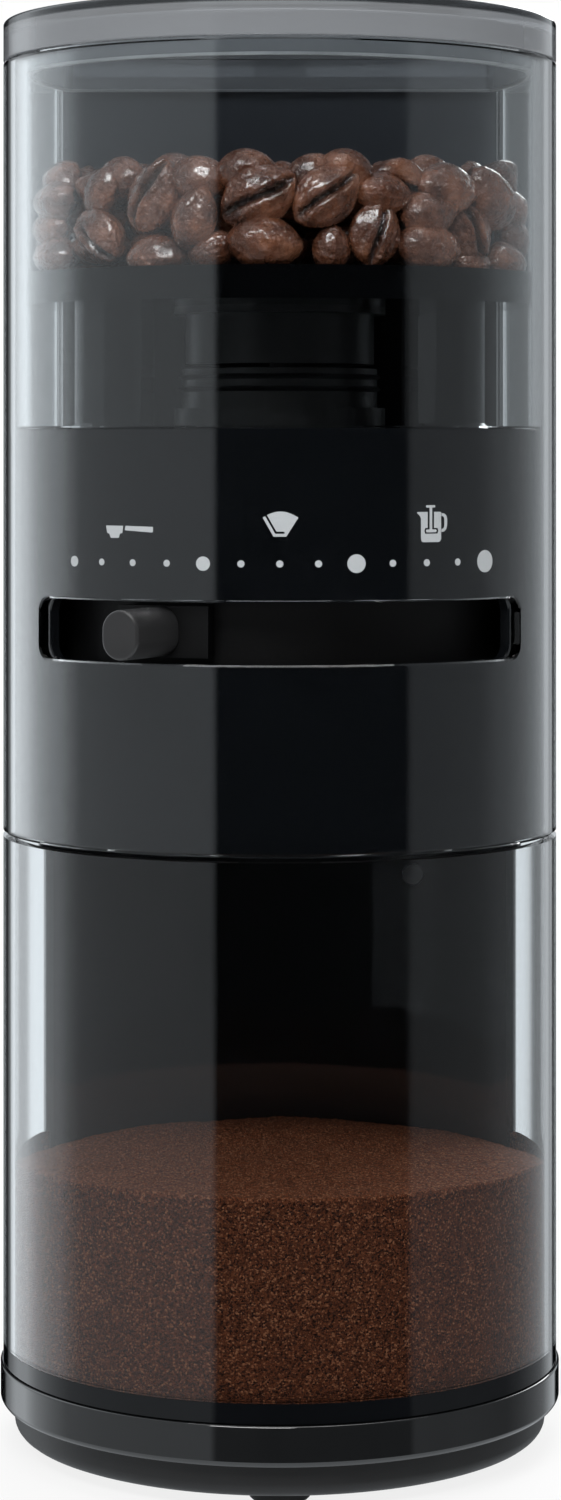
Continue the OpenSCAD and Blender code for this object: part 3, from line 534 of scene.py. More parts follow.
def cut(mesh: BMesh, place: Triple, normal: Triple, clear: bool = False, near: float = 1e-4) -> list[BMEdge]:
    """Cuts a mesh along a plane.

    Args:
        mesh: the mesh.
        place: a point of the plane.
        normal: the plane's normal.
        clear: whether what lies beyond the plane goes.
        near: how close to the plane a vertex counts as on it.

    Returns:
        The edges of the cut.
    """
    made = bmesh.ops.bisect_plane(
        mesh, geom=mesh.verts[:] + mesh.edges[:] + mesh.faces[:], plane_co=place, plane_no=normal,
        clear_outer=clear, dist=near,
    )
    return [g for g in made["geom_cut"] if isinstance(g, BMEdge)]


def spin_round(mesh: BMesh, steps: int) -> None:
    """Spins a profile in the X-Z plane once about the burr axis and merges its poles."""
    bmesh.ops.spin(
        mesh, geom=mesh.verts[:] + mesh.edges[:], cent=(0, 0, 0), axis=(0, 0, 1), dvec=(0, 0, 0),
        angle=math.tau, steps=steps, use_merge=True, use_duplicate=False,
    )
    bmesh.ops.remove_doubles(mesh, verts=mesh.verts[:], dist=1e-3)


def profile_solid(points: Sequence[Triple], steps: int = 224, segments: int = 4) -> BMesh:
    """Spins a closed profile about the burr axis.

    Args:
        points: radius, height and rounding of each corner.
        steps: steps round the axis.
        segments: segments of each rounding.

    Returns:
        The solid.
    """
    mesh = bmesh.new()
    corners = [mesh.verts.new((r, 0, z)) for r, z, _ in points]
    for first, second in zip(corners, corners[1:] + corners[:1]):
        mesh.edges.new((first, second))
    rounds: dict[float, list[BMVert]] = {}
    for corner, (_, _, rounding) in zip(corners, points):
        if rounding:
            rounds.setdefault(rounding, []).append(corner)
    for rounding, group in rounds.items():
        bevel(mesh, group, rounding, segments, "VERTICES")
    spin_round(mesh, steps)
    bmesh.ops.delete(mesh, geom=[e for e in mesh.edges if e.is_wire], context="EDGES")
    return mesh


def disc(mesh: BMesh, radius: float, centre: Triple, segments: int = 32) -> None:
    """Adds a filled circle in the X-Z plane.

    Args:
        mesh: the mesh that it joins.
        radius: its radius.
        centre: its centre.
        segments: its corners.
    """
    turn = Matrix.Translation(centre) @ Matrix.Rotation(math.radians(90), 4, "X")
    bmesh.ops.create_circle(mesh, cap_ends=True, radius=radius, segments=segments, matrix=turn)


def plate(mesh: BMesh, points: Iterable[tuple[float, float]]) -> list[BMVert]:
    """Adds a flat face in the X-Z plane through a few corners, and returns its vertices."""
    corners = [mesh.verts.new((x, 0, z)) for x, z in points]
    mesh.faces.new(corners)
    return corners


def raise_faces(mesh: BMesh, vector: Triple) -> None:
    """Extrudes every face of the mesh along a vector into closed solids."""
    made = bmesh.ops.extrude_face_region(mesh, geom=mesh.faces[:])
    bmesh.ops.translate(mesh, vec=vector, verts=[g for g in made["geom"] if isinstance(g, BMVert)])


def soften(mesh: BMesh, heights: Sequence[float], width: float) -> None:
    """Rounds the sharp edges that lie level at one of some heights.

    Args:
        mesh: the mesh.
        heights: the heights.
        width: how far the rounding reaches from each edge.
    """
    edges = [
        e for e in mesh.edges
        if len(e.link_faces) == 2 and e.calc_face_angle(0) > 1.0
        and any(all(abs(v.co.z - z) < 1e-3 for v in e.verts) for z in heights)
    ]
    bevel(mesh, edges, width)


def bend_round(mesh: BMesh, radius: float) -> None:
    """Wraps a flat sheet round the tower.

    Args:
        mesh: a sheet with its arc length along X, its depth inwards along Y and its height along Z.
        radius: the radius at which Y is 0 and arc lengths are true.
    """
    for vertex in mesh.verts:
        angle = vertex.co.x / radius
        reach = radius - vertex.co.y
        vertex.co.x = reach * math.sin(angle)
        vertex.co.y = -reach * math.cos(angle)


@dataclass
class RoundWall:
    """A round wall, open at the back, that may have a slot with rounded corners."""

    radius: float
    thickness: float
    low: float
    high: float
    half_angle: float = 114.2
    slot_half_angle: float = 0.0
    slot_low: float = 0.0
    slot_high: float = 0.0
    slot_round: float = 3.3
    corner_round: float = 0.8
    chamfer: float = 0.35
    #: degrees that each flat strip of the wall spans
    strip: float = 1.5

    def _frame(self, mesh: BMesh, half_angle: float, low: float, high: float) -> list[BMVert]:
        """Adds a rectangle to the sheet, half_angle wide on either side, and returns its corners."""
        half = math.radians(half_angle) * self.radius
        return plate(mesh, ((-half, low), (half, low), (half, high), (-half, high)))

    def build(self) -> BMesh:
        """Returns the wall as a closed solid in millimetres."""
        mesh = bmesh.new()
        corners = self._frame(mesh, self.half_angle, self.low, self.high)
        bevel(mesh, corners, self.corner_round, affect="VERTICES", clamp=False)
        if self.slot_half_angle:
            corners = self._frame(mesh, self.slot_half_angle, self.slot_low, self.slot_high)
            bevel(mesh, corners, self.slot_round, segments=10, affect="VERTICES", clamp=False)
            bmesh.ops.delete(mesh, geom=mesh.faces[:], context="FACES_ONLY")
            bmesh.ops.triangle_fill(
                mesh, use_beauty=True, use_dissolve=False, edges=mesh.edges[:], normal=(0, -1, 0)
            )
        bmesh.ops.inset_region(
            mesh, faces=mesh.faces[:], use_boundary=True, use_even_offset=True, thickness=self.chamfer
        )
        step = math.radians(self.strip) * self.radius
        count = int(math.radians(self.half_angle) * self.radius / step)
        for k in range(-count, count + 1):
            cut(mesh, (k * step, 0, 0), (1, 0, 0))
        for vertex in {v for e in mesh.edges if e.is_boundary for v in e.verts}:
            vertex.co.y = self.chamfer
        made = bmesh.ops.extrude_face_region(mesh, geom=mesh.faces[:])
        for vertex in (g for g in made["geom"] if isinstance(g, BMVert)):
            vertex.co.y = self.thickness - vertex.co.y
        bend_round(mesh, self.radius)
        return mesh


def d_face(mesh: BMesh, radius: float, back: float, height: float, corner: float) -> BMFace:
    """Adds a filled circle whose back is cut straight, with rounded corners.

    Args:
        mesh: an empty mesh.
        radius: the circle's radius.
        back: where its back is cut.
        height: its height.
        corner: rounding of its two corners.

    Returns:
        The face.
    """
    bmesh.ops.create_circle(
        mesh, cap_ends=True, radius=radius, segments=256, matrix=Matrix.Translation((0, 0, height))
    )
    cut(mesh, (0, back, 0), (0, 1, 0), clear=True)
    ends = [v for v in mesh.verts if abs(v.co.y - back) < 1e-3 and abs(v.co.x) > radius * 0.5]
    bevel(mesh, ends, corner, segments=10, affect="VERTICES", clamp=False)
    return max(mesh.faces, key=lambda f: f.calc_area())


def pull(mesh: BMesh, face: BMFace, rise: float, keep: bool = False) -> BMFace:
    """Extrudes one face up or down.

    Args:
        mesh: its mesh.
        face: the face.
        rise: how far it moves along Z.
        keep: whether the old face stays, as the foot of a new solid.

    Returns:
        The moved face.
    """
    made = bmesh.ops.extrude_face_region(mesh, geom=[face])["geom"]
    bmesh.ops.translate(mesh, vec=(0, 0, rise), verts=[g for g in made if isinstance(g, BMVert)])
    if not keep and face.is_valid:
        bmesh.ops.delete(mesh, geom=[face], context="FACES_ONLY")
    return next(g for g in made if isinstance(g, BMFace))


# ---- sub-assemblies -------------------------------------------------------------------------


@dataclass
class Head:
    """The grinding head's clear sleeve, its black front panel with the scale, and the lever."""

    radius: float = 60.0
    wall: float = 2.4
    low: float = 132.2
    high: float = 297.8
    panel_radius: float = 57.3
    panel_wall: float = 2.3
    panel_low: float = 132.5
    panel_high: float = 218.8
    slot_low: float = 171.0
    slot_high: float = 183.6
    slot_half_angle: float = 56.8
    lever_angle: float = -26.5
    peg_radius: float = 4.15
    peg_rise: float = 0.95
    peg_face: float = 71.9
    peg_root: float = 54.6
    peg_round: float = 0.7
    dot_height: float = 191.4
    dot_pitch: float = 7.75
    dot_sizes: tuple[float, ...] = (2.2, 1.4, 1.4, 1.4, 2.9, 1.45, 1.45, 1.45, 3.8, 1.45, 1.45, 1.45, 4.6)
    ink: float = 0.06
    #: arc length on either side of the front that the print stays within
    print_reach: int = 48

    def build(self) -> None:
        """Builds the sleeve, the panel, the peg and the printed scale."""
        slot = dict(slot_half_angle=self.slot_half_angle, slot_low=self.slot_low, slot_high=self.slot_high)
        sleeve = RoundWall(self.radius, self.wall, self.low, self.high, **slot)
        finish_piece("clear_sleeve", sleeve.build(), Finish.CLEAR_PLASTIC, "housing", ["outer_sleeve"])
        panel = RoundWall(self.panel_radius, self.panel_wall, self.panel_low, self.panel_high, chamfer=0.25, **slot)
        finish_piece("scale_panel", panel.build(), Finish.GLOSS_BLACK, "housing", ["front_panel"])
        self._peg()
        self._scale()

    def _peg(self) -> None:
        """Builds the oval peg of the setting lever with its softened face."""
        mesh = bmesh.new()
        disc(mesh, self.peg_radius, (0, 0, 0), 64)
        cut(mesh, (0, 0, 0), (0, 0, 1))
        for vertex in mesh.verts:
            vertex.co.z += math.copysign(self.peg_rise, vertex.co.z) if abs(vertex.co.z) > 1e-4 else 0
        bmesh.ops.dissolve_edges(mesh, edges=[e for e in mesh.edges if len(e.link_faces) == 2])
        raise_faces(mesh, (0, self.peg_root - self.peg_face, 0))
        front = min(v.co.y for v in mesh.verts)
        rim = [e for e in mesh.edges if all(abs(v.co.y - front) < 1e-3 for v in e.verts)]
        bevel(mesh, rim, self.peg_round)
        middle = (self.slot_low + self.slot_high) / 2
        bmesh.ops.translate(mesh, vec=(0, -self.peg_root, middle), verts=mesh.verts[:])
        turn = Matrix.Rotation(math.radians(self.lever_angle), 3, "Z")
        bmesh.ops.rotate(mesh, cent=(0, 0, 0), matrix=turn, verts=mesh.verts[:])
        finish_piece("lever_knob", mesh, Finish.DARK_PLASTIC, "adjuster", ["lever_peg"])

    def _scale(self) -> None:
        """Prints the dots and the three brewing pictograms on the panel."""
        mesh = bmesh.new()
        for index, size in enumerate(self.dot_sizes):
            angle = math.radians((index - (len(self.dot_sizes) - 1) / 2) * self.dot_pitch)
            disc(mesh, size / 2, (angle * self.panel_radius, 0, self.dot_height))
        self._portafilter(mesh)
        self._filter_cone(mesh)
        self._press_pot(mesh)
        raise_faces(mesh, (0, -self.ink, 0))
        for x in range(-self.print_reach, self.print_reach + 1):
            cut(mesh, (x, 0, 0), (1, 0, 0), near=1e-5)
        bend_round(mesh, self.panel_radius)
        finish_piece("setting_scale", mesh, Finish.PRINT, "housing", sharp=60)

    @staticmethod
    def _portafilter(mesh: BMesh) -> None:
        """Draws a portafilter seen from its side: a basket with a spout and a long handle."""
        plate(mesh, (
            (-37.6, 198.9), (-37.3, 197.4), (-36.8, 197.3), (-36.4, 196.4), (-34.4, 196.4), (-34.1, 197.3),
            (-33.5, 197.4), (-33.3, 198.9),
        ))
        plate(mesh, ((-32.7, 198.9), (-32.9, 198.0), (-26.5, 197.6), (-26.3, 197.75), (-26.3, 198.75)))

    @staticmethod
    def _filter_cone(mesh: BMesh) -> None:
        """Draws a paper filter: a fan with an arced brim and an open fold along its left and lower sides."""
        plate(mesh, (
            (-1.24, 196.9), (1.3, 196.9), (3.73, 200.76), (3.0, 201.17), (2.2, 201.55), (1.3, 201.87), (0.16, 202.0),
            (-1.0, 201.87), (-1.9, 201.55), (-2.53, 201.25), (-0.66, 197.92), (0.95, 197.92), (0.95, 197.48),
            (-0.91, 197.48), (-2.9, 201.04), (-3.41, 200.76),
        ))

    @staticmethod
    def _press_pot(mesh: BMesh) -> None:
        """Draws a press pot: a jug with a spout and a handle, and a plunger through its open top."""
        plate(mesh, (
            (28.75, 201.75), (31.18, 201.75), (31.18, 198.46), (30.6, 198.46), (30.4, 197.88), (30.6, 197.3),
            (33.6, 197.3), (33.8, 197.88), (33.6, 198.46), (32.75, 198.46), (32.75, 201.75), (34.3, 201.75),
            (34.46, 201.6), (34.46, 196.2), (34.2, 195.75), (33.85, 195.58), (30.15, 195.58), (29.8, 195.75),
            (29.62, 196.2), (29.62, 200.4), (29.35, 200.95), (28.72, 201.55),
        ))
        plate(mesh, (
            (31.68, 202.63), (30.92, 202.63), (30.82, 202.88), (30.92, 203.12), (32.92, 203.12), (33.02, 202.88),
            (32.92, 202.63), (32.28, 202.63), (32.28, 198.17), (33.2, 198.17), (33.38, 197.88), (33.2, 197.58),
            (30.95, 197.58), (30.77, 197.88), (30.95, 198.17), (31.68, 198.17),
        ))
        plate(mesh, (
            (34.58, 201.46), (35.2, 201.4), (35.75, 201.0), (36.0, 200.28), (36.0, 199.1), (35.75, 198.2),
            (35.2, 197.7), (34.58, 197.64), (34.58, 198.24), (35.0, 198.3), (35.24, 198.65), (35.3, 199.1),
            (35.3, 200.28), (35.2, 200.6), (34.95, 200.85), (34.58, 200.9),
        ))


@dataclass
class Hopper:
    """The hopper's clear liner, its smoky lid and the beans in it."""

    liner_radius: float = 57.3
    liner_wall: float = 2.3
    liner_low: float = 219.0
    liner_high: float = 297.8
    lid_low: float = 298.1
    lid_high: float = 306.8
    lid_radius: float = 60.0
    skirt: float = 2.6
    lid_top: float = 3.2
    collar_radius: float = 54.7
    collar_back: float = 24.4
    collar_wall: float = 2.0
    collar_depth: float = 3.2
    collar_corner: float = 2.0
    #: the pale grey bead round the collar's lower edge, a painted highlight for the bright line that the edge
    #: catches: how far it stands out, its height, thickness and drop
    bead_out: float = 0.1
    bead_height: float = 0.6
    bead_wall: float = 1.2
    bead_drop: float = 0.5
    #: room between the cap and what hangs under it
    gap: float = 0.05
    tab_width: float = 12.0
    tab_wall: float = 2.2
    tab_round: float = 0.4
    tab_low: float = 290.8
    tab_y: float = 45.1

    def build(self) -> None:
        """Builds the liner, the lid and the beans."""
        liner = RoundWall(self.liner_radius, self.liner_wall, self.liner_low, self.liner_high, chamfer=0.3)
        finish_piece("clear_liner", liner.build(), Finish.CLEAR_PLASTIC, "housing", ["hopper_liner"])
        self._lid()
        BeanBed().build()

    def _hoop(self, radius: float, back: float, low: float, height: float, wall: float) -> BMesh:
        """Builds a hoop that is round in front and straight at the back.

        Args:
            radius: its outer radius.
            back: where its back stands.
            low: its lower edge.
            height: its height.
            wall: its thickness.

        Returns:
            The hoop.
        """
        mesh = bmesh.new()
        top = pull(mesh, d_face(mesh, radius, back, low, self.collar_corner), height, keep=True)
        bmesh.ops.inset_individual(mesh, faces=[top], thickness=wall, use_even_offset=True)
        bottom = min(mesh.faces, key=lambda f: f.calc_center_median().z)
        bmesh.ops.inset_individual(mesh, faces=[bottom], thickness=wall, use_even_offset=True)
        bmesh.ops.bridge_loops(mesh, edges=list(top.edges) + list(bottom.edges))
        bmesh.ops.delete(mesh, geom=[top, bottom], context="FACES_ONLY")
        return mesh

    def _lid(self) -> None:
        """Builds the lid: a cap with a rounded edge, a locating collar with a pale grey bead that paints the bright
        line along its lower edge, and its tab.
        """
        under = self.lid_high - self.lid_top
        inner = self.lid_radius - self.skirt
        shell = profile_solid(
            (
                (0, under, 0), (inner, under, 0.8), (inner, self.lid_low, 0.3), (self.lid_radius, self.lid_low, 0.5),
                (self.lid_radius, self.lid_high, 0.9), (0, self.lid_high, 0),
            ),
            segments=6,
        )
        finish_piece("smoky_lid", shell, Finish.SMOKY_PLASTIC, "lid", ["lid"])
        under -= self.gap
        low = self.lid_low - self.collar_depth
        collar = self._hoop(self.collar_radius, self.collar_back, low, under - low, self.collar_wall)
        finish_piece("lid_collar", collar, Finish.SMOKY_PLASTIC, "lid")
        # a pale grey ring under the collar: painted highlight for the bright line along its lower edge
        bead = self._hoop(
            self.collar_radius + self.bead_out, self.collar_back - self.bead_out, low - self.bead_drop,
            self.bead_height, self.bead_wall,
        )
        finish_piece("lid_highlight_bead", bead, Finish.HIGHLIGHT_GREY, "lid")
        tab = bmesh.new()
        bmesh.ops.create_cube(tab, size=1.0)
        bmesh.ops.scale(tab, vec=(self.tab_width, self.tab_wall, under - self.tab_low), verts=tab.verts[:])
        bevel(tab, tab.edges[:], self.tab_round, clamp=False)
        bmesh.ops.translate(tab, vec=(0, self.tab_y, (under + self.tab_low) / 2), verts=tab.verts[:])
        finish_piece("lid_tab", tab, Finish.SMOKY_PLASTIC, "lid")


@dataclass
class BeanBed:
    """The coffee beans: listed ones at the glass and a packed bed behind them."""

    length: float = 15.0
    width: float = 10.6
    thickness: float = 8.0
    glass: float = 54.8
    #: how far behind the glass the middle of a bean lies
    seat: float = 4.6
    bed_levels: tuple[float, ...] = (256.6, 263.2, 269.4)
    bed_radius: float = 45.0
    #: radius that the bed's lowest level leaves free round the burr carrier's neck
    neck_radius: float = 12.0
    back: float = 18.0
    #: distance of the bed's beans as they are strewn, and the one that they are pushed to
    strewn: float = 10.4
    apart: float = 11.2
    pushes: int = 40
    seed: int = 5

    #: x, height, length factor, direction in degrees, turn about its own length, depth behind the glass
    front: tuple[tuple[float, float, float, float, float, float], ...] = (
        (-36.5, 258.6, 1.00, -36, 10, 0.0), (-25.5, 266.6, 1.10, 64, -14, 0.6), (-16.8, 261.6, 0.92, 72, 165, 0.4),
        (-4.2, 266.0, 1.14, 32, 4, 0.0), (-3.0, 256.4, 1.05, -7, 172, 0.3), (-24.5, 253.6, 0.9, 2, 180, 0.5),
        (-45.5, 266.6, 0.9, 12, 175, 0.6), (-44.8, 271.0, 0.9, -8, 160, 2.5), (-46.5, 261.2, 0.85, 6, 185, 0.5),
        (-45.6, 255.0, 0.9, 3, 178, 0.6), (-50.5, 257.4, 0.8, 70, 170, 0.4), (-35.2, 267.8, 0.85, 60, 150, 3.2),
        (-7.0, 271.4, 0.84, 10, 170, 2.8), (-16.4, 269.8, 0.9, 8, 190, 3.0), (-13.2, 255.2, 0.75, 20, 175, 1.6),
        (9.2, 266.3, 1.08, 42, -6, 0.0), (13.6, 271.6, 0.8, -20, 165, 2.8), (6.6, 270.6, 0.85, 15, 200, 5.0),
        (20.5, 266.8, 0.82, -5, 172, 1.2), (19.0, 258.6, 0.98, 80, 2, 0.0), (24.0, 269.6, 0.9, -6, 20, 3.0),
        (29.6, 263.0, 0.9, 8, 170, 0.8), (29.5, 256.0, 1.0, -5, 176, 0.6), (10.3, 255.4, 0.7, 85, 178, 1.2),
        (38.4, 259.4, 0.95, -58, 12, 0.3), (33.2, 268.2, 1.02, -5, 184, 1.4), (41.8, 267.0, 1.05, -52, 170, 0.8),
        (46.2, 270.8, 0.95, -12, 30, 1.4), (48.6, 265.2, 0.85, 40, 160, 0.6), (48.2, 258.8, 0.85, 65, 178, 0.5),
        (46.0, 253.6, 0.9, 0, 175, 0.8), (38.6, 253.0, 0.7, 10, 180, 1.6), (-52.5, 263.5, 0.8, 80, 170, 0.8),
        (52.0, 262.0, 0.8, 85, 172, 0.8), (-32.0, 271.0, 0.85, 0, 175, 6.0), (-42.0, 271.6, 0.8, 15, 185, 9.0),
        (30.0, 271.4, 0.85, 10, 175, 7.5), (40.0, 271.2, 0.85, -15, 190, 8.0), (-22.0, 271.6, 0.8, 20, 180, 9.0),
    )

    def _bean(self, level: int) -> BMesh:
        """Makes one bean of full size, its length along X and its creased flat side towards +Y.

        Args:
            level: subdivisions of the sphere that it starts from.

        Returns:
            The bean, with the depth of its crease as a float layer, which the shader uses to paint the crease's
            shade.
        """
        mesh = bmesh.new()
        bmesh.ops.create_icosphere(mesh, subdivisions=level, radius=1.0)
        layer = mesh.verts.layers.float.new("crease")
        for vertex in mesh.verts:
            x, y, z = vertex.co
            z = math.copysign(abs(z) ** 1.35, z)
            flat = y > 0
            across = z - 0.10 * math.sin(2.6 * x)
            depth = math.exp(-((across / 0.13) ** 2)) * max(0.0, 1 - abs(x) ** 6) if y > 0.05 else 0.0
            lips = 1 + 0.25 * math.exp(-(((abs(across) - 0.3) / 0.2) ** 2))
            reach = 0.34 * y * lips if flat else 0.66 * y
            vertex.co = Vector((
                self.length / 2 * x * (1 - 0.03 * z),
                self.thickness * (reach - 0.16 * depth),
                self.width / 2 * z * (1 + 0.05 * x) * (1.0 + 0.06 * (1 - x * x)),
            ))
            wrinkle = (
                noise.noise(Vector((x * 1.5, y * 1.5, z * 3.8))) * 0.22
                + noise.noise(Vector((x * 3.4, y * 3.0, z * 6.5)) + Vector((7, 3, 1))) * 0.16
                + noise.noise(Vector((x * 7.5, y * 6.0, z * 9.0)) + Vector((2, 9, 4))) * 0.13
                + noise.noise(vertex.co * 0.9) * 0.16
            )
            vertex.co += Vector((0, 1 if flat else -1, 0)) * wrinkle
            vertex[layer] = depth
        return mesh

    def _lay(self, target: BMesh, level: int, place: Matrix) -> None:
        """Adds one bean of some detail to a mesh, at the place, turn and size of a matrix."""
        bean = self._patterns[level].copy()
        bmesh.ops.transform(bean, matrix=place, verts=bean.verts[:])
        data = bpy.data.meshes.new("bean_copy")
        bean.to_mesh(data)
        bean.free()
        target.from_mesh(data)
        bpy.data.meshes.remove(data)

    def build(self) -> None:
        """Lays the front beans and the bed behind them."""
        self._patterns = {level: self._bean(level) for level in (3, 4, 5)}
        self._front()
        self._bed()
        for pattern in self._patterns.values():
            pattern.free()

    def _front(self) -> None:
        """Lays the beans that lie against the glass."""
        middle = bmesh.new()
        sides = bmesh.new()
        for mesh in (middle, sides):
            mesh.verts.layers.float.new("crease")
        for x, height, factor, direction, roll, depth in self.front:
            reach = self.glass - self.seat - depth
            angle = math.asin(max(-1.0, min(1.0, x / reach)))
            # the bean's flat side looks out of the tower, its length lies in the glass
            place = (
                Matrix.Rotation(angle, 4, "Z")
                @ Matrix.Translation((0, -reach, height))
                @ Matrix.Rotation(math.radians(-direction), 4, "Y")
                @ Matrix.Rotation(math.radians(roll), 4, "X")
                @ Matrix.Rotation(math.pi, 4, "Z")
                @ Matrix.Diagonal((factor, factor, factor, 1))
            )
            clear = abs(x) < 42 and depth < 2
            self._lay(middle if clear else sides, 5 if clear else 4, place)
        finish_piece("beans_at_glass", middle, Finish.BEAN, "housing", sharp=180)
        finish_piece("beans_at_sides", sides, Finish.BEAN, "housing", sharp=180)

    def _bed(self) -> None:
        """Packs the beans behind the front ones by pushing them apart."""
        rng = np.random.default_rng(self.seed)
        mesh = bmesh.new()
        mesh.verts.layers.float.new("crease")
        for index, level in enumerate(self.bed_levels):
            grid = np.arange(-self.bed_radius, self.bed_radius, self.strewn)
            points = np.array([(x + 5 * (row % 2), y) for row, y in enumerate(grid) for x in grid])
            points += rng.uniform(-1.2, 1.2, points.shape)
            points = points[(np.hypot(*points.T) < self.bed_radius - 2) & (points[:, 1] < self.back)]
            for _ in range(self.pushes):
                gap = points[:, None] - points[None]
                distance = np.hypot(gap[..., 0], gap[..., 1]) + np.eye(len(points)) * 99
                push = np.clip(self.apart - distance, 0, None)[..., None] * gap / distance[..., None]
                points += 0.2 * push.sum(1)
                radius = np.hypot(*points.T)
                points *= np.minimum(1, (self.bed_radius - 1) / radius)[:, None]
                points[:, 1] = np.minimum(points[:, 1], self.back)
            for x, y in points:
                if index == 0 and math.hypot(x, y) < self.neck_radius:
                    continue
                turn = rng.uniform(0, math.tau, 2)
                factor = rng.uniform(0.82, 1.0)
                place = (
                    Matrix.Translation((x, y, level + rng.uniform(-1.2, 1.6)))
                    @ Matrix.Rotation(turn[0], 4, "Z")
                    @ Matrix.Rotation(rng.normal(0, 0.3), 4, "Y")
                    @ Matrix.Rotation(math.pi / 2 * (1 if turn[1] > 2.2 else -1) + rng.normal(0, 0.35), 4, "X")
                    @ Matrix.Diagonal((factor, factor, factor, 1))
                )
                self._lay(mesh, 4 if index == len(self.bed_levels) - 1 and y < 0 else 3, place)
        finish_piece("bean_bed", mesh, Finish.BEAN, "housing", sharp=180)


@dataclass
class Bin:
    """The clear bin with its black sole and the ground coffee in it."""

    radius: float = 60.0
    wall: float = 2.4
    back: float = 24.3
    corner: float = 8.5
    foot: float = 20.35
    foot_inset: float = 2.05
    step: float = 22.42
    top: float = 131.2
    brim_round: float = 0.6
    floor: float = 22.36
    sole_low: float = 18.3
    sole_high: float = 22.38
    sole_floor: float = 20.3
    sole_wall: float = 1.95
    sole_round: float = 0.45
    coffee_level: float = 63.4
    #: room between the coffee and the bin's wall and floor
    coffee_gap: float = 0.15
    coffee_lift: float = 0.06
    mound: float = 2.2
    rear_sag: float = 4.5
    #: steps of the coffee's mesh from the axis to the wall, down the wall and round the axis
    coffee_mesh: tuple[int, int, int] = (76, 39, 460)

    def build(self) -> None:
        """Builds the bin, the sole and the coffee."""
        self._bin()
        self._sole()
        self._coffee()

    def _cup(self, low: float, high: float, wall: float, floor: float) -> BMesh:
        """Builds an open cup that is round in front and straight at the back.

        Args:
            low: the height of its underside.
            high: the height of its brim.
            wall: its thickness.
            floor: the height of its inner floor.

        Returns:
            The cup.
        """
        mesh = bmesh.new()
        face = d_face(mesh, self.radius, self.back, low, self.corner)
        brim = pull(mesh, face, high - low, keep=True)
        bmesh.ops.inset_individual(mesh, faces=[brim], thickness=wall, use_even_offset=True)
        pull(mesh, brim, floor - high)
        return mesh

    def _bin(self) -> None:
        """Builds the clear bin, whose foot steps in for the sole's rim."""
        mesh = self._cup(self.step, self.top, self.wall, self.floor)
        under = max(
            (f for f in mesh.faces if abs(f.calc_center_median().z - self.step) < 0.03 and abs(f.normal.z) > 0.9),
            key=lambda f: f.calc_area(),
        )
        bmesh.ops.inset_individual(mesh, faces=[under], thickness=self.foot_inset, use_even_offset=True)
        pull(mesh, under, self.foot - self.step)
        soften(mesh, (self.top,), self.brim_round)
        finish_piece("clear_bin", mesh, Finish.CLEAR_PLASTIC, "bin", ["grounds_bin"])

    def _sole(self) -> None:
        """Builds the glossy sole that the bin stands in."""
        mesh = self._cup(self.sole_low, self.sole_high, self.sole_wall, self.sole_floor)
        soften(mesh, (self.sole_low, self.sole_high), self.sole_round)
        finish_piece("gloss_sole", mesh, Finish.GLOSS_BLACK, "bin", ["bin_sole"])

    def _coffee(self) -> None:
        """Builds the ground coffee: a settled heap with a granular top."""
        reach = self.radius - self.wall - self.coffee_gap
        low = self.floor + self.coffee_lift
        rings, layers, steps = self.coffee_mesh
        profile = [(reach * k / rings, self.coffee_level) for k in range(rings + 1)]
        profile += [
            (reach, self.coffee_level + (low - self.coffee_level) * k / layers) for k in range(1, layers + 1)
        ]
        mesh = bmesh.new()
        corners = [mesh.verts.new((x, 0, z)) for x, z in (*profile, (0, low))]
        for first, second in zip(corners, corners[1:]):
            mesh.edges.new((first, second))
        spin_round(mesh, steps)
        back = self.back - self.wall - self.coffee_gap
        rim = cut(mesh, (0, back, 0), (0, 1, 0), clear=True)
        loose = mesh.verts.layers.float.new("loose")
        for vertex in mesh.verts:
            if abs(vertex.co.z - self.coffee_level) > 1e-3:
                continue
            vertex[loose] = 1.0
            spread = vertex.co.xy.length / reach
            lump = noise.noise(vertex.co * 0.045) * 0.5 + noise.noise(vertex.co * 0.2) * 0.3
            grit = noise.noise(vertex.co * 1.3) * 0.2 + noise.noise(vertex.co * 2.9) * 0.16
            rear = min(1.0, max(0.0, (vertex.co.y + 25) / 45))
            sag = self.rear_sag * rear * (vertex.co.x / 50) ** 2
            vertex.co.z += self.mound * (1 - spread * spread) + lump + grit - sag
        bmesh.ops.triangle_fill(mesh, use_beauty=True, use_dissolve=False, edges=rim, normal=(0, 1, 0))
        # the bin's rounded rear corners cut across the heap's
        for side in (-1, 1):
            outwards = Vector((0.557 * side, 0.83, 0))
            limit = Vector((math.sqrt(reach * reach - back * back) * side, back, 0)).dot(outwards) - 1.5
            for vertex in mesh.verts:
                vertex.co -= outwards * max(0.0, vertex.co.dot(outwards) - limit)
        finish_piece("ground_coffee", mesh, Finish.POWDER, "bin", sharp=80)


@dataclass
class Base:
    """The glossy base ring round the deck."""

    #: radius, height and rounding of its corners
    profile: tuple[Triple, ...] = (
        (60.58, 18.0, 0.5), (54.0, 18.02, 0), (54.0, 9.6, 0), (60.0, 9.55, 0.3), (60.58, 10.4, 0.4),
    )

    def build(self) -> None:
        """Builds the ring."""
        ring = profile_solid(self.profile, segments=5)
        finish_piece("gloss_base_ring", ring, Finish.RING_BLACK, "housing")


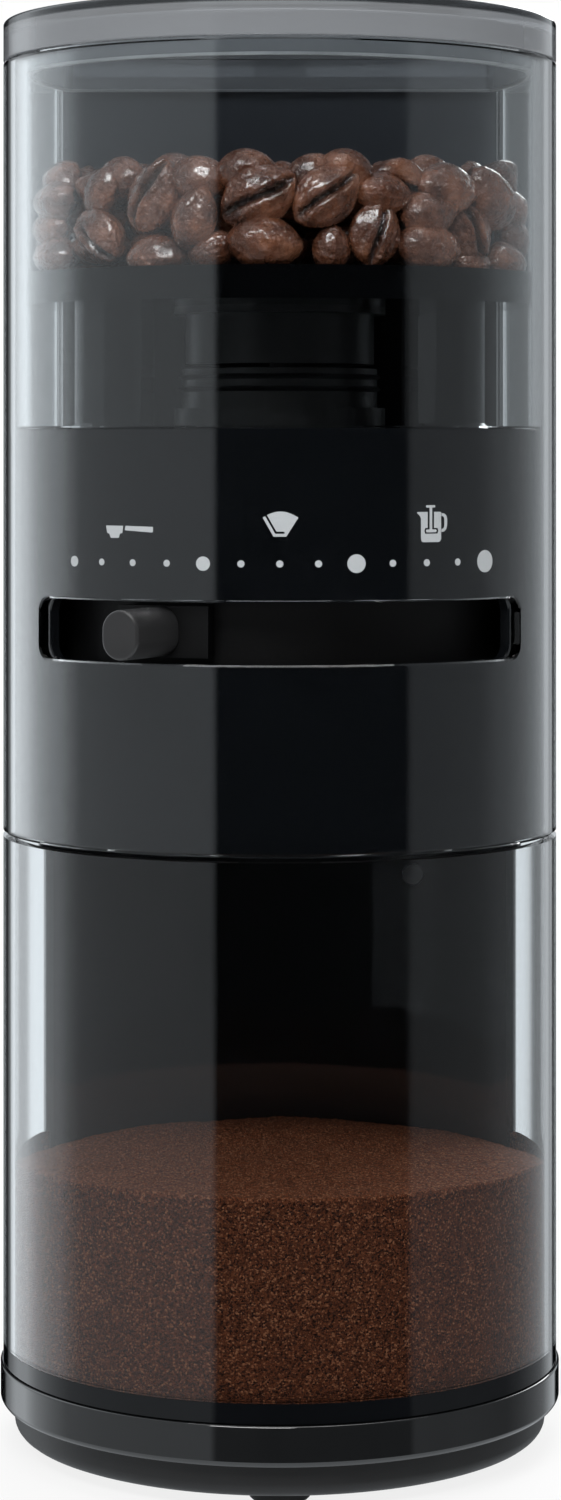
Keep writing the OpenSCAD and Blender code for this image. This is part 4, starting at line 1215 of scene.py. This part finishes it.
@dataclass
class Mouldings:
    """The remaining CAD parts: seen ones get smooth copies, all get their finish."""

    seen: tuple[str, ...] = (
        "feet", "base_pan", "base_ring", "back_wall", "rear_shell", "cable_bushing", "hopper_floor", "finger_guard",
        "feed_throat", "pillars", "pillar_screws", "upper_plate", "setting_ring", "setting_hub", "lever_block",
        "burr_carrier", "burr_nut", "drive_shaft", "ring_burr", "cone_burr", "start_button", "button_bezel",
        "bin_pin", "frame_plate", "grounds_chute", "lid_seal",
    )
    #: parts whose finish isn't the common one of their slot
    special: tuple[tuple[str, Finish], ...] = (
        # the setting ring, its hub and the lever block, seen through the slot, take a black that is darkened by
        # painted shade
        ("setting_ring", Finish.SLOT_SHADE_BLACK), ("setting_hub", Finish.SLOT_SHADE_BLACK), ("lever_block", Finish.SLOT_SHADE_BLACK),
        ("burr_carrier", Finish.NECK_BLACK), ("feed_throat", Finish.NECK_BLACK), ("finger_guard", Finish.NECK_BLACK),
        ("upper_plate", Finish.NECK_BLACK), ("back_wall", Finish.WALL_BLACK), ("lid_seal", Finish.SEAL_GREY),
        ("burr_nut", Finish.DARK_STEEL), ("drive_shaft", Finish.DARK_STEEL), ("pillar_screws", Finish.DARK_STEEL),
        ("hopper_floor", Finish.FLOOR_BLACK),
    )
    #: radius that the deck's own rim is drawn in to, behind the glossy ring
    rim_radius: float = 59.2

    def _draw_in(self, mesh: BMesh) -> None:
        """Draws a mesh's rim in, so that the glossy ring covers it."""
        for vertex in mesh.verts:
            reach = vertex.co.xy.length / MM
            if reach > self.rim_radius:
                vertex.co.xy *= self.rim_radius / reach

    def dress(self, frame: dict) -> None:
        """Gives every CAD node its finish, and the seen ones a smooth copy.
        """
        finishes = {f.slot: f for f in Finish}
        slots = {row["node"]: row["material_slot"] for row in frame["record"]["subparts"]}
        special = dict(self.special)
        for name, node in frame["nodes"].items():
            finish = special.get(name, finishes[slots[name]])
            node.data.materials.clear()
            node.data.materials.append(finish.get())
            if name in self.seen:
                mesh = bmesh.new()
                mesh.from_mesh(node.data)
                bmesh.ops.remove_doubles(mesh, verts=mesh.verts[:], dist=2e-6)
                if name == "base_ring":
                    self._draw_in(mesh)
                finish_piece(
                    name + "_part", mesh, finish, node["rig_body"], [name], sharp=28, from_cad=True
                )


# ---- studio ---------------------------------------------------------------------------------


@dataclass
class Studio:
    """White room with soft boxes at the sides, a dark front, a key light and a pale floor."""

    #: direction round the tower in degrees and brightness of what glossy surfaces see there
    surround: tuple[tuple[float, float], ...] = (
        (-180, 1.0), (-172, 1.0), (-171, 0.0), (-155, 0.0), (-151, 0.35), (-147, 0.5), (-138, 1.2), (-128, 1.6),
        (-118, 1.05), (-107, 0.7), (-96, 0.42), (-80, 0.36), (-28, 0.33), (-25.5, 0.0), (54, 0.0), (56, 0.15),
        (81, 0.14), (105, 0.1), (116, 0.18), (127, 0.3), (137, 0.42), (146, 0.8), (154, 0.9), (157, 0.0), (171, 0.0),
        (172, 1.0), (180, 1.0),
    )
    #: the same for what clear parts show behind them
    beyond: tuple[tuple[float, float], ...] = (
        (-180, 1.0), (-169, 1.0), (-167, 0.05), (-154, 0.05), (-152, 0.9), (-104, 0.95), (-92, 0.36), (-28, 0.33),
        (-25.5, 0.0), (54, 0.0), (56, 0.15), (92, 0.18), (104, 0.3), (152, 0.38), (154, 0.05), (167, 0.05),
        (169, 1.0), (180, 1.0),
    )
    brightest: float = 1.6
    pale_floor: float = 0.75
    ambient: float = 0.42
    cool: Triple = (0.93, 0.985, 1.03)
    #: name, place and aim in metres, width and height, and watts of each lamp
    lamps: tuple[tuple[str, Triple, Triple, tuple[float, float], float], ...] = (
        ("key_box", (-0.25, -1.05, 1.25), (0, 0, 0.2), (0.8, 0.55), 13.0),
        ("top_box", (0.1, 0.2, 1.5), (0, 0, 0.2), (1.0, 1.0), 10.0),
        ("rim_box", (0.6, 1.3, 0.9), (0, 0, 0.15), (0.7, 0.7), 8.0),
    )
    camera_at: Triple = (0, -0.7931, 0.2156)
    focal: float = 87.46
    shift: tuple[float, float] = (0.0005, -0.204)

    def build(self) -> None:
        """Sets up the world, the lamps, the floor and the camera."""
        self._world()
        for lamp in self.lamps:
            self._lamp(*lamp)
        self._floor()
        self._camera()

    def _world(self) -> None:
        """Paints the room: white for the camera, soft boxes for reflections, even fill for the rest."""
        world = bpy.data.worlds.new("studio")
        bpy.context.scene.world = world
        world.use_nodes = True
        world.cycles.sampling_method = "NONE"
        shader = Shader(world.node_tree)
        way = shader.node("SeparateXYZ", Vector=shader.node("TexCoord").outputs["Generated"])
        angle = shader.field(way, 0).turn(shader.field(way, 1) * -1.0) * (1 / math.tau) + 0.5
        down = shader.ramp(shader.field(way, 2) * -1.0, ((0.34, 0.0), (0.46, 1.0)))
        path = shader.node("LightPath")
        camera = shader.field(path, "Is Camera Ray")
        clear = shader.field(path, "Is Transmission Ray")
        glossy = shader.field(path, "Is Glossy Ray") * (1.0 - clear)
        walls = []
        for room in (self.surround, self.beyond):
            stops = [((a + 180) / 360, value / self.brightest) for a, value in room]
            walls.append(shader.ramp(angle, stops) * self.brightest)
        seen = glossy * (walls[0] * (1.0 - down) + down * self.pale_floor) + clear * walls[1]
        other = (1.0 - camera) * (1.0 - glossy) * (1.0 - clear)
        strength = camera + (1.0 - camera) * seen + other * self.ambient
        colour = shader.mix(clear + glossy, (1, 1, 1), self.cool)
        light = shader.node("Background", Color=colour, Strength=strength)
        shader.node("OutputWorld", Surface=light.outputs[0])

    @staticmethod
    def _lamp(name: str, place: Triple, aim: Triple, size: tuple[float, float], watts: float) -> None:
        """Adds a soft box.

        Args:
            name: its name.
            place: where it stands, in metres.
            aim: what it points at.
            size: its width and height.
            watts: its power.
        """
        lamp = bpy.data.lights.new(name, "AREA")
        lamp.shape = "RECTANGLE"
        lamp.size, lamp.size_y = size
        lamp.energy = watts
        holder = bpy.data.objects.new(name, lamp)
        holder.location = place
        holder.rotation_euler = (Vector(aim) - Vector(place)).to_track_quat("-Z", "Y").to_euler()
        bpy.context.scene.collection.objects.link(holder)

    @staticmethod
    def _floor() -> None:
        """Adds the floor, which reflections and clear parts leave out."""
        mesh = bmesh.new()
        bmesh.ops.create_grid(mesh, x_segments=1, y_segments=1, size=6)
        data = bpy.data.meshes.new("floor")
        mesh.to_mesh(data)
        mesh.free()
        floor = bpy.data.objects.new("floor", data)
        bpy.context.scene.collection.objects.link(floor)
        floor.visible_glossy = False
        floor.visible_transmission = False
        data.materials.append(FloorCard().material())

    def _camera(self) -> None:
        """Adds the camera: level, a little below the hopper's floor, shifted down to the base."""
        lens = bpy.data.cameras.new("camera")
        lens.lens = self.focal
        lens.sensor_width = 36
        lens.shift_x, lens.shift_y = self.shift
        lens.clip_start = 0.01
        camera = bpy.data.objects.new("camera", lens)
        camera.location = self.camera_at
        camera.rotation_euler = (math.radians(90), 0, 0)
        bpy.context.scene.collection.objects.link(camera)
        bpy.context.scene.camera = camera


def main() -> None:
    """Builds the grinder round its CAD frame, with its studio."""
    logging.basicConfig(level=logging.INFO, format="%(name)s %(message)s")
    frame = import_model()
    bpy.context.scene.view_settings.view_transform = "Standard"
    Mouldings().dress(frame)
    Base().build()
    Bin().build()
    Head().build()
    Hopper().build()
    Studio().build()


if __name__ == "__main__":
    main()
